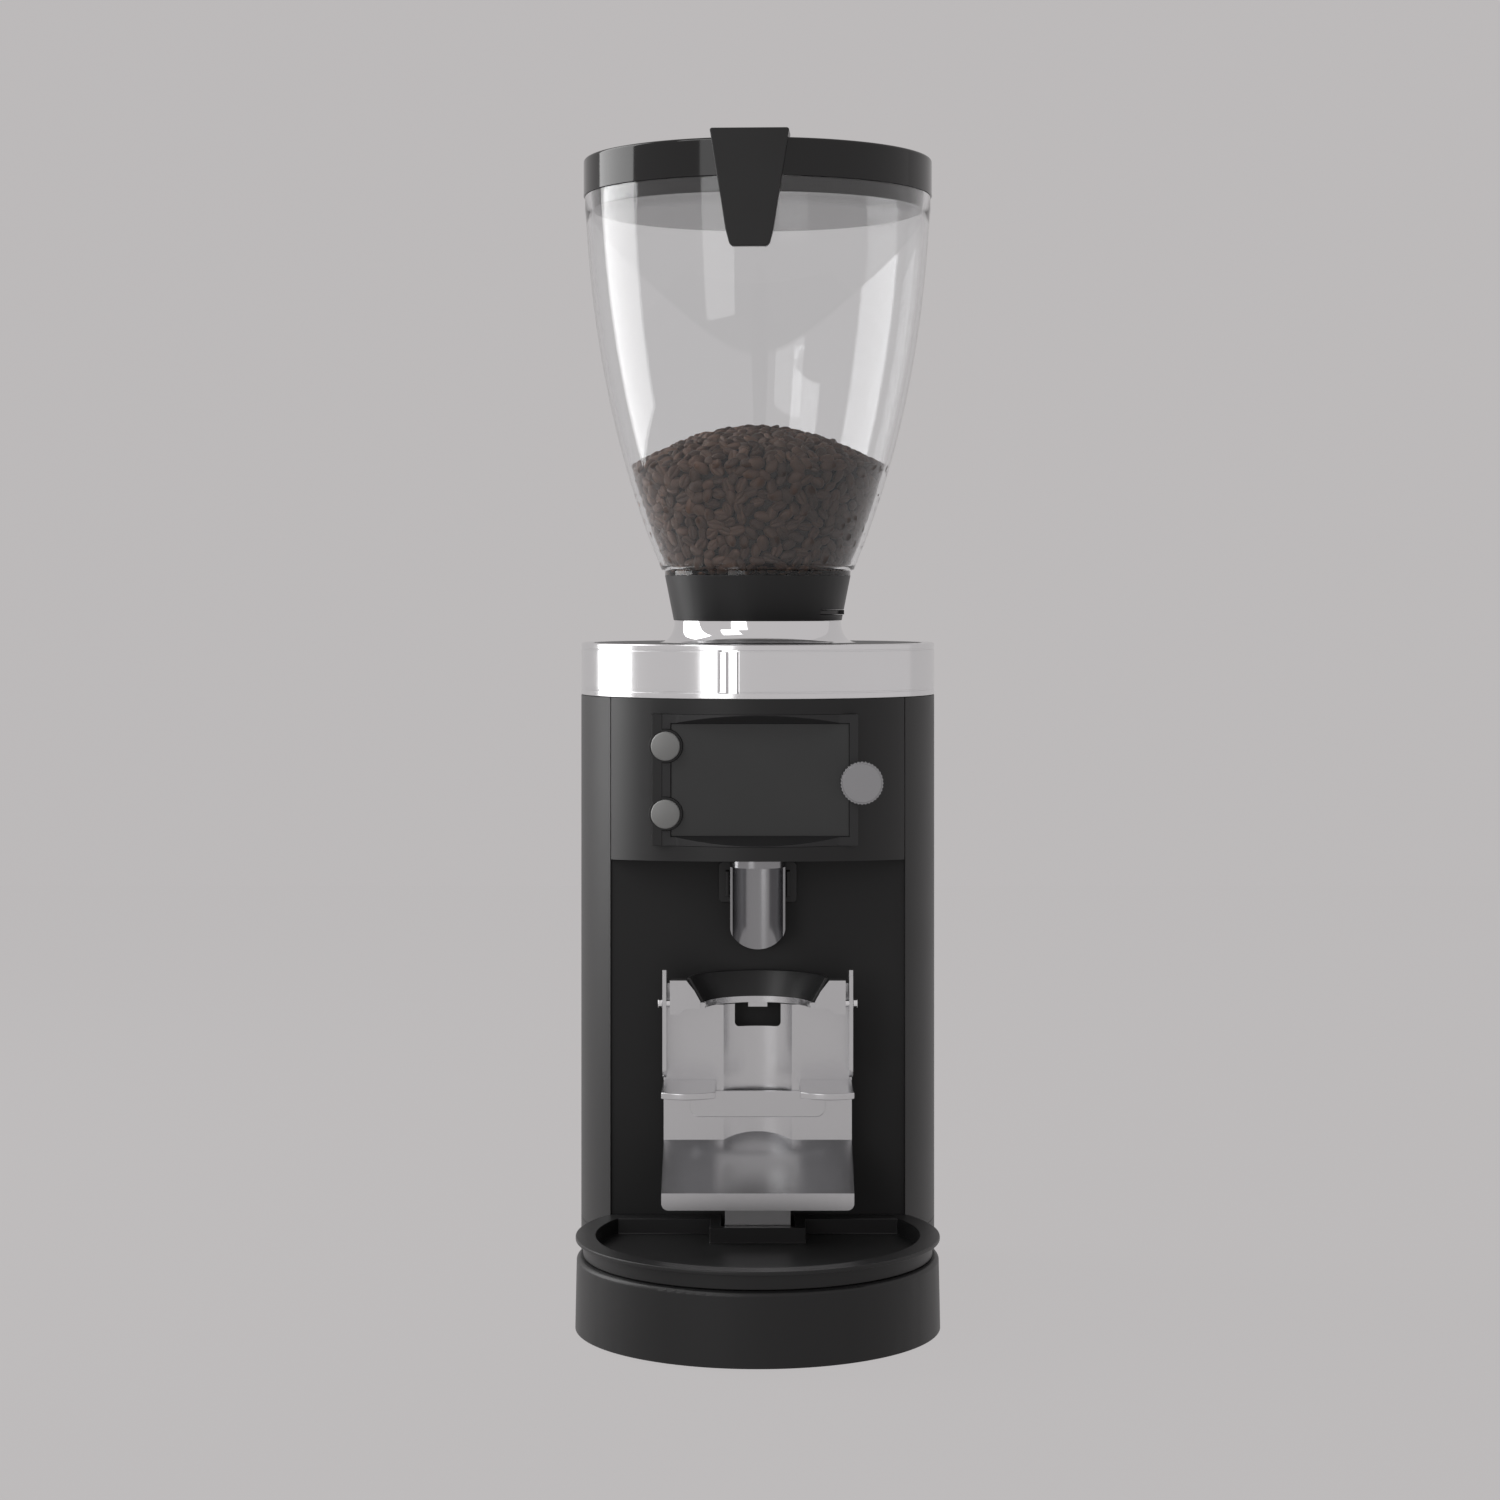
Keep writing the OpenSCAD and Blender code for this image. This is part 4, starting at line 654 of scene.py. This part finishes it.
class GRINDER_OT_hopper(bpy.types.Operator):
    """Turns the clear hopper and the lid, and finishes the neck, the gate and the lid's clip."""
    bl_idname = "grinder.hopper"
    bl_label = "Hopper and lid"

    # The hopper in millimetres: its wall, its tube in the neck, and the step on which it stands there
    wall = 3.5
    tube_r = 58.0
    step_r = 63.2
    step_h = 3.0
    # Its curve starts over the neck, bends by a control point and ends under the rim
    low_r = 65.5
    mid_r = 109.9
    mid_rise = 105.8
    neck_rise = 4.0
    curve_drop = 12.5
    # The rim stands out from the curve, over a band of this height
    rim_out = 0.5
    rim_h = 9.5
    # The lid's gap over the rim and its plug's gap inside the wall
    lid_gap = 0.3
    plug_gap = 0.7
    # The clip sits a little to the left of the front
    clip_turn = math.radians(-2.5)

    @classmethod
    def curve(cls, inset, steps=48):
        """The hopper's outline from the neck to the rim, drawn in by inset."""
        high = cad("hopper_shell")[1]
        foot = cad("hopper_neck")[1].z + cls.neck_rise
        a = Vector((cls.low_r, foot))
        b = Vector((cls.mid_r, foot + cls.mid_rise))
        c = Vector((high.x - cls.rim_out, high.z - cls.curve_drop))
        points = []
        for i in range(steps + 1):
            t = i / steps
            p = a * (1 - t) ** 2 + b * 2 * t * (1 - t) + c * t * t
            points.append((p.x - inset, p.y))
        return points

    def execute(self, context):
        edge = settings().edge_round
        low, high = cad("hopper_shell")
        neck_top = cad("hopper_neck")[1].z
        rim_r, top = high.x - self.rim_out, high.z
        outer = [(self.tube_r, low.z), (self.tube_r, neck_top), (self.step_r, neck_top),
                 (self.step_r, neck_top + self.step_h)]
        outer += self.curve(0) + [(rim_r + self.rim_out, top - self.rim_h), (rim_r + self.rim_out, top)]
        inner = [(self.tube_r - self.wall, low.z), (self.tube_r - self.wall, neck_top)]
        inner += self.curve(self.wall) + [(rim_r - self.wall, top)]
        shell = turned("hopper_shell_finish", metres(outer + inner[::-1]), 192)
        finish_piece(shell, MATERIALS["clear"], "hopper", "hopper_shell")

        dress("hopper_neck", MATERIALS["plastic"], edge * 0.5)
        dress("shutoff_gate", MATERIALS["plastic"], edge * 0.5)

        low, high = cad("lid")
        r, z0, z1 = high.x, top + self.lid_gap, high.z
        plug = rim_r - self.wall - self.plug_gap
        profile = [(0, low.z, 0), (plug, low.z, 1.2), (plug, z0, 0.4), (r, z0, 0.5), (r, z1, 2.0), (0, z1, 0)]
        lid = turned("lid_finish", metres(fillet(profile, 0.5, 6)), 256)
        finish_piece(lid, MATERIALS["gloss"], "hopper_lid", "lid")
        clip = dress("lid_clip", MATERIALS["clip"], edge * 1.3, 4)
        middle = Matrix.Translation((0, BURR_Y, 0))
        clip.data.transform(middle @ Matrix.Rotation(self.clip_turn, 4, "Z") @ middle.inverted())
        return {"FINISHED"}


class GRINDER_OT_beans(bpy.types.Operator):
    """Fills the hopper with loose beans: Geometry Nodes scatter them on the heap's surface."""
    bl_idname = "grinder.beans"
    bl_label = "Beans"

    seed = 7
    # The heap in millimetres: its height at the wall, the crown over its node, and its gap to the wall
    wall_rise = 77.0
    crown_over = 4.0
    wall_gap = 0.6
    # Depth under the heap's outside of the surface that bears the beans, and of the core behind them, whose
    # darkened bean colour is painted shade between the beans
    bearing = 2.6
    core = 5.2
    # How steeply the crown rises from its edge
    crown_bend = 0.9
    crown_steps = 16
    # How far beans rock in radians, at the wall and on the crown, and the share of it along their length
    wall_tilt = 0.55
    crown_tilt = 0.9
    pitch = 0.7
    # Points a square metre before the spacing thins them, and the range of sizes
    density = 400000
    scale = (0.84, 1.08)
    # Half a bean's width and height as shares of half its length, and the drop of its tips
    half_width = 0.69
    half_height = 0.5
    tip_drop = 0.05
    # Stations along a bean: place and girth
    stations = [(-0.86, 0.5), (-0.5, 0.87), (0.0, 1.0), (0.5, 0.87), (0.86, 0.5)]
    # Half a bean's section from the crease to the top of its back: width and height
    section = [(0.0, -0.28), (0.13, -0.62), (0.66, -0.56), (1.0, 0.02), (0.74, 0.68), (0.0, 1.0)]

    def bean(self):
        """One bean along X, its creased belly facing down."""
        half = settings().bean_length / 2
        width, height = half * self.half_width, half * self.half_height
        ring = self.section + [(-y, z) for y, z in self.section[-2:0:-1]]
        bm = bmesh.new()
        rows = [[bm.verts.new((half * x, width * girth * y, height * girth * z)) for y, z in ring]
                for x, girth in self.stations]
        tips = [bm.verts.new((x, 0, -height * self.tip_drop)) for x in (-half, half)]
        count = len(ring)
        for a, b in zip(rows, rows[1:]):
            for k in range(count):
                bm.faces.new((a[k], a[(k + 1) % count], b[(k + 1) % count], b[k]))
        for tip, row in zip(tips, (rows[0], rows[-1])):
            for k in range(count):
                bm.faces.new((row[k], row[(k + 1) % count], tip))
        bean = new_object("bean_shape", bm)
        bean.data.polygons.foreach_set("use_smooth", [True] * len(bean.data.polygons))
        return bean

    def tree(self, name):
        """Scatters beans over a surface, each with its own turn, size and tone."""
        group = bpy.data.node_groups.new(name, "GeometryNodeTree")
        face = group.interface
        face.new_socket("Geometry", in_out="INPUT", socket_type="NodeSocketGeometry")
        for label, kind in [("Bean", "NodeSocketObject"), ("Spacing", "NodeSocketFloat"),
                            ("Seed", "NodeSocketInt"), ("Tilt", "NodeSocketFloat"),
                            ("Skin", "NodeSocketMaterial")]:
            face.new_socket(label, in_out="INPUT", socket_type=kind)
        face.new_socket("Geometry", in_out="OUTPUT", socket_type="NodeSocketGeometry")
        new, link = group.nodes.new, group.links.new
        inlet, outlet = new("NodeGroupInput"), new("NodeGroupOutput")

        points = new("GeometryNodeDistributePointsOnFaces")
        points.distribute_method = "POISSON"
        points.inputs["Density Max"].default_value = self.density
        link(inlet.outputs["Geometry"], points.inputs["Mesh"])
        link(inlet.outputs["Spacing"], points.inputs["Distance Min"])
        link(inlet.outputs["Seed"], points.inputs["Seed"])

        def random(kind, low, high, offset):
            """A random value of its own for each bean, from the seed and an offset."""
            node = new("FunctionNodeRandomValue")
            node.data_type = kind
            least, most, value = {"FLOAT": (2, 3, 1), "INT": (4, 5, 2)}[kind]
            node.inputs[least].default_value = low
            node.inputs[most].default_value = high
            add = new("ShaderNodeMath")
            add.inputs[1].default_value = offset
            link(inlet.outputs["Seed"], add.inputs[0])
            link(add.outputs[0], node.inputs["Seed"])
            return node.outputs[value]

        def maths(operation, a, b):
            """A sum or product of numbers and outputs."""
            node = new("ShaderNodeMath")
            node.operation = operation
            for socket, value in zip(node.inputs, (a, b)):
                if isinstance(value, (int, float)):
                    socket.default_value = value
                else:
                    link(value, socket)
            return node.outputs[0]

        # Beans lie on their belly or on their back, and rock on it by up to the tilt
        flip = maths("MULTIPLY", random("INT", 0, 1, 1), math.pi)
        rock = maths("MULTIPLY", random("FLOAT", -1.0, 1.0, 2), inlet.outputs["Tilt"])
        pitch = maths("MULTIPLY", random("FLOAT", -self.pitch, self.pitch, 3), inlet.outputs["Tilt"])
        turn = new("ShaderNodeCombineXYZ")
        link(maths("ADD", flip, rock), turn.inputs[0])
        link(pitch, turn.inputs[1])
        link(random("FLOAT", 0.0, 2 * math.pi, 4), turn.inputs[2])
        euler = new("FunctionNodeEulerToRotation")
        link(turn.outputs[0], euler.inputs[0])
        rotate = new("FunctionNodeRotateRotation")
        rotate.rotation_space = "LOCAL"
        link(points.outputs["Rotation"], rotate.inputs["Rotation"])
        link(euler.outputs[0], rotate.inputs["Rotate By"])

        source = new("GeometryNodeObjectInfo")
        link(inlet.outputs["Bean"], source.inputs["Object"])
        instance = new("GeometryNodeInstanceOnPoints")
        link(points.outputs["Points"], instance.inputs["Points"])
        link(source.outputs["Geometry"], instance.inputs["Instance"])
        link(rotate.outputs[0], instance.inputs["Rotation"])
        link(random("FLOAT", *self.scale, 5), instance.inputs["Scale"])

        tone = new("GeometryNodeStoreNamedAttribute")
        tone.domain = "INSTANCE"
        tone.inputs["Name"].default_value = "tone"
        link(instance.outputs[0], tone.inputs["Geometry"])
        link(random("FLOAT", 0.0, 1.0, 6), tone.inputs["Value"])
        realize = new("GeometryNodeRealizeInstances")
        skin = new("GeometryNodeSetMaterial")
        link(tone.outputs[0], realize.inputs[0])
        link(realize.outputs[0], skin.inputs["Geometry"])
        link(inlet.outputs["Skin"], skin.inputs["Material"])
        link(skin.outputs[0], outlet.inputs[0])
        return group

    def scatter(self, name, surface, bean, tilt):
        """Replaces the surface with the beans that lie on it."""
        group = self.tree(name)
        beans = surface.modifiers.new("beans", "NODES")
        beans.node_group = group
        values = {"Bean": bean, "Spacing": settings().bean_spacing, "Seed": self.seed,
                  "Tilt": tilt, "Skin": MATERIALS["beans"]}
        for item in group.interface.items_tree:
            if item.in_out == "INPUT" and item.name in values:
                beans[item.identifier] = values[item.name]
        surface.update_tag()
        bpy.context.view_layer.update()
        graph = bpy.context.evaluated_depsgraph_get()
        mesh = bpy.data.meshes.new_from_object(surface.evaluated_get(graph))
        surface.modifiers.clear()
        surface.data = mesh
        surface.name = name
        return surface

    def heap(self, inset):
        """The heap's side and its crown as two profiles, from the neck up and from the wall in."""
        hopper = GRINDER_OT_hopper
        foot = cad("hopper_shell")[0].z
        neck_top = cad("hopper_neck")[1].z
        crown = cad("bean_fill")[1].z
        tube = hopper.tube_r - hopper.wall - inset - self.wall_gap
        side = [(tube, foot + 3), (tube, neck_top + 1)]
        side += [(r - hopper.wall - inset - self.wall_gap, z) for r, z in hopper.curve(0)
                 if z < neck_top + self.wall_rise]
        edge_r, edge_z = side[-1]
        top = []
        for i in range(self.crown_steps + 1):
            t = i / self.crown_steps
            rise = math.sin(t * math.pi / 2) ** self.crown_bend
            top.append((edge_r * (1 - t), edge_z + (crown + self.crown_over - inset - edge_z) * rise))
        return side, top

    def execute(self, context):
        wall, crown = self.heap(self.bearing)
        bean = self.bean()
        side = self.scatter("beans_wall", open_lathe("wall_surface", wall), bean, self.wall_tilt)
        top = self.scatter("beans_crown", open_lathe("crown_surface", crown), bean, self.crown_tilt)
        bpy.data.objects.remove(bean)
        inner_wall, inner_crown = self.heap(self.core)
        # The core is painted shade: a heap in darkened bean brown that shows as shadow between the beans
        core = turned("beans_core", metres([(0, wall[0][1])] + inner_wall + inner_crown[1:]), 96)
        for piece, key in ((side, "beans"), (top, "beans"), (core, "dark_beans")):
            finish_piece(piece, MATERIALS[key], "hopper", "bean_fill")
        return {"FINISHED"}


class GRINDER_OT_spout(bpy.types.Operator):
    """Finishes the steel spout and the plate behind it."""
    bl_idname = "grinder.spout"
    bl_label = "Spout"

    def execute(self, context):
        edge = settings().edge_round
        dress("spout", MATERIALS["spout"], edge * 0.7, 3)
        dress("spout_plate", MATERIALS["plastic"], edge * 0.8)
        return {"FINISHED"}


class GRINDER_OT_holder(bpy.types.Operator):
    """Finishes the filter handle's holder: sheet, fork, clamp, half funnel, pins, slide and post."""
    bl_idname = "grinder.holder"
    bl_label = "Handle holder"

    def execute(self, context):
        edge = settings().edge_round
        for node, key, slot, width in [
                ("holder_plate", "steel", "brushed_steel", edge * 0.9),
                ("portafilter_fork", "steel", "brushed_steel", edge * 1.6),
                ("clamp_bracket", "steel", "brushed_steel", edge * 0.7),
                ("holder_post", "steel", "brushed_steel", edge),
                ("half_funnel", "plastic", "black_plastic", edge * 0.8),
                ("slide_block", "plastic", "black_plastic", edge),
                ("pivot_pins", "collar", "polished_metal", edge * 0.6)]:
            dress(node, MATERIALS[key], width, 3)
        return {"FINISHED"}


class GRINDER_OT_inside(bpy.types.Operator):
    """Paints the nodes that only an open or turned grinder shows."""
    bl_idname = "grinder.inside"
    bl_label = "Inner pieces"

    finishes = {
        "cast": ["grinding_chamber", "motor_housing", "motor_end_cap", "lower_carrier", "upper_carrier",
                 "ring_spider"],
        "ground": ["motor_shaft", "motor_rotor", "upper_bearing", "lower_bearing", "upper_burr", "lower_burr",
                   "collar_posts", "start_capacitor"],
        "copper": ["motor_stator"],
        "dark_steel": ["upper_burr_screws", "lower_burr_screws"],
        "board": ["display_board", "control_board"],
        "plastic": ["knob_encoder", "outlet_chute", "cooling_fan"],
        "body": ["bottom_plate"],
    }

    def execute(self, context):
        for key, nodes in self.finishes.items():
            for node in nodes:
                paint(node, MATERIALS[key])
        return {"FINISHED"}


class GRINDER_OT_stage(bpy.types.Operator):
    """Sets the plain floor and backdrop, the soft lights and the camera."""
    bl_idname = "grinder.stage"
    bl_label = "Stage"

    # The camera: lens and sensor in millimetres, and its distance from the burr axis and its height in metres
    focal = 75.6
    sensor = 36.0
    distance = 2.146
    eye = 0.467
    shift = (-0.00517, -0.102)
    clip_end = 30
    # Half the floor's width, its front edge, the backdrop's place and the backdrop's height, in metres
    room = (6.0, -5.0, 3.0, 7.0)
    # Strength of the room's light on matt surfaces, beside 1 where it is seen
    ambient = 0.05
    # Each lamp's direction round the burr axis from the camera's side in degrees, then its distance, height
    # and size in metres, and its radiance, which is what a mirror would show of it
    lamps = [("left_softbox", -105, 1.6, 1.0, (1.1, 1.9), 3.0),
             ("front_strip", -26, 2.6, 1.0, (1.0, 1.8), 1.3),
             ("top_key", -42, 1.8, 1.9, (0.9, 0.9), 2.5)]
    aim_height = 0.4
    # Share of the backdrop's colour that glows, and how much light its matt coat returns
    glow_share = 0.87
    coat_tone = 0.03

    def lamp(self, name, angle, away, height, size, radiance):
        """An oblong area lamp that faces the burr axis."""
        light = bpy.data.lights.new(name, "AREA")
        light.shape = "RECTANGLE"
        light.size, light.size_y = size
        light.energy = radiance * math.pi * size[0] * size[1]
        obj = bpy.data.objects.new(name, light)
        bpy.context.scene.collection.objects.link(obj)
        target = Vector((0, BURR_Y, self.aim_height))
        a = math.radians(angle)
        obj.location = (away * math.sin(a), BURR_Y - away * math.cos(a), height)
        obj.rotation_euler = (target - obj.location).to_track_quat("-Z", "Y").to_euler()
        return obj

    def pale(self, name):
        """Shows its pale colour to the camera, in shiny surfaces and through clear ones, and takes a shadow."""
        material = bpy.data.materials.new(name)
        material.use_nodes = True
        tree = material.node_tree
        tree.nodes.clear()
        new, link = tree.nodes.new, tree.links.new
        glow = new("ShaderNodeEmission")
        glow.inputs["Color"].default_value = (*toned(settings().backdrop_colour, self.glow_share), 1)
        link(seen_clearly(tree), glow.inputs["Strength"])
        coat = new("ShaderNodeBsdfDiffuse")
        coat.inputs["Color"].default_value = (self.coat_tone,) * 3 + (1,)
        both = new("ShaderNodeAddShader")
        link(glow.outputs[0], both.inputs[0])
        link(coat.outputs[0], both.inputs[1])
        out = new("ShaderNodeOutputMaterial")
        link(both.outputs[0], out.inputs["Surface"])
        return material

    def sheet(self, name, corners, material):
        """A flat piece of the stage."""
        bm = bmesh.new()
        bm.faces.new([bm.verts.new(c) for c in corners])
        obj = new_object(name, bm)
        obj.data.materials.append(material)
        return obj

    def execute(self, context):
        scene = bpy.context.scene
        pale = self.pale("pale_sweep")
        half, near, far, high = self.room
        self.sheet("floor", [(-half, near, 0), (half, near, 0), (half, far, 0), (-half, far, 0)], pale)
        self.sheet("backdrop", [(-half, far, 0), (half, far, 0), (half, far, high), (-half, far, high)], pale)

        world = bpy.data.worlds.new("soft_room")
        world.use_nodes = True
        tree = world.node_tree
        background = tree.nodes["Background"]
        background.inputs["Color"].default_value = (*settings().backdrop_colour, 1)
        tree.links.new(add_range(tree, seen_clearly(tree), self.ambient, 1.0), background.inputs["Strength"])
        scene.world = world

        for lamp in self.lamps:
            self.lamp(*lamp)

        camera = bpy.data.cameras.new("camera")
        camera.lens = self.focal
        camera.sensor_width = self.sensor
        camera.shift_x, camera.shift_y = self.shift
        camera.clip_end = self.clip_end
        eye = bpy.data.objects.new("camera", camera)
        scene.collection.objects.link(eye)
        eye.location = (0, BURR_Y - self.distance, self.eye)
        eye.rotation_euler = (math.radians(90), 0, 0)
        scene.camera = eye
        scene.view_settings.view_transform = "Standard"
        return {"FINISHED"}


class GRINDER_PT_panel(bpy.types.Panel):
    """Lists the steps that finish the grinder."""
    bl_idname = "GRINDER_PT_panel"
    bl_label = "Espresso grinder"
    bl_space_type = "VIEW_3D"
    bl_region_type = "UI"
    bl_category = "Grinder"

    def draw(self, context):
        layout = self.layout
        for name in GrinderSettings.__annotations__:
            layout.prop(context.scene.grinder_settings, name)
        for step in STEPS:
            layout.operator(step.bl_idname)


STEPS = (GRINDER_OT_body, GRINDER_OT_rear, GRINDER_OT_display, GRINDER_OT_ring, GRINDER_OT_hopper,
         GRINDER_OT_beans, GRINDER_OT_spout, GRINDER_OT_holder, GRINDER_OT_inside, GRINDER_OT_stage)
CLASSES = (GrinderSettings,) + STEPS + (GRINDER_PT_panel,)


def register():
    for cls in CLASSES:
        bpy.utils.register_class(cls)
    bpy.types.Scene.grinder_settings = bpy.props.PointerProperty(type=GrinderSettings)


def unregister():
    del bpy.types.Scene.grinder_settings
    for cls in reversed(CLASSES):
        bpy.utils.unregister_class(cls)


def main():
    register()
    make_materials()
    for step in STEPS:
        group, name = step.bl_idname.split(".")
        result = getattr(getattr(bpy.ops, group), name)()
        if result != {"FINISHED"}:
            raise RuntimeError(step.bl_idname + " did not finish")


if __name__ == "__main__":
    main()
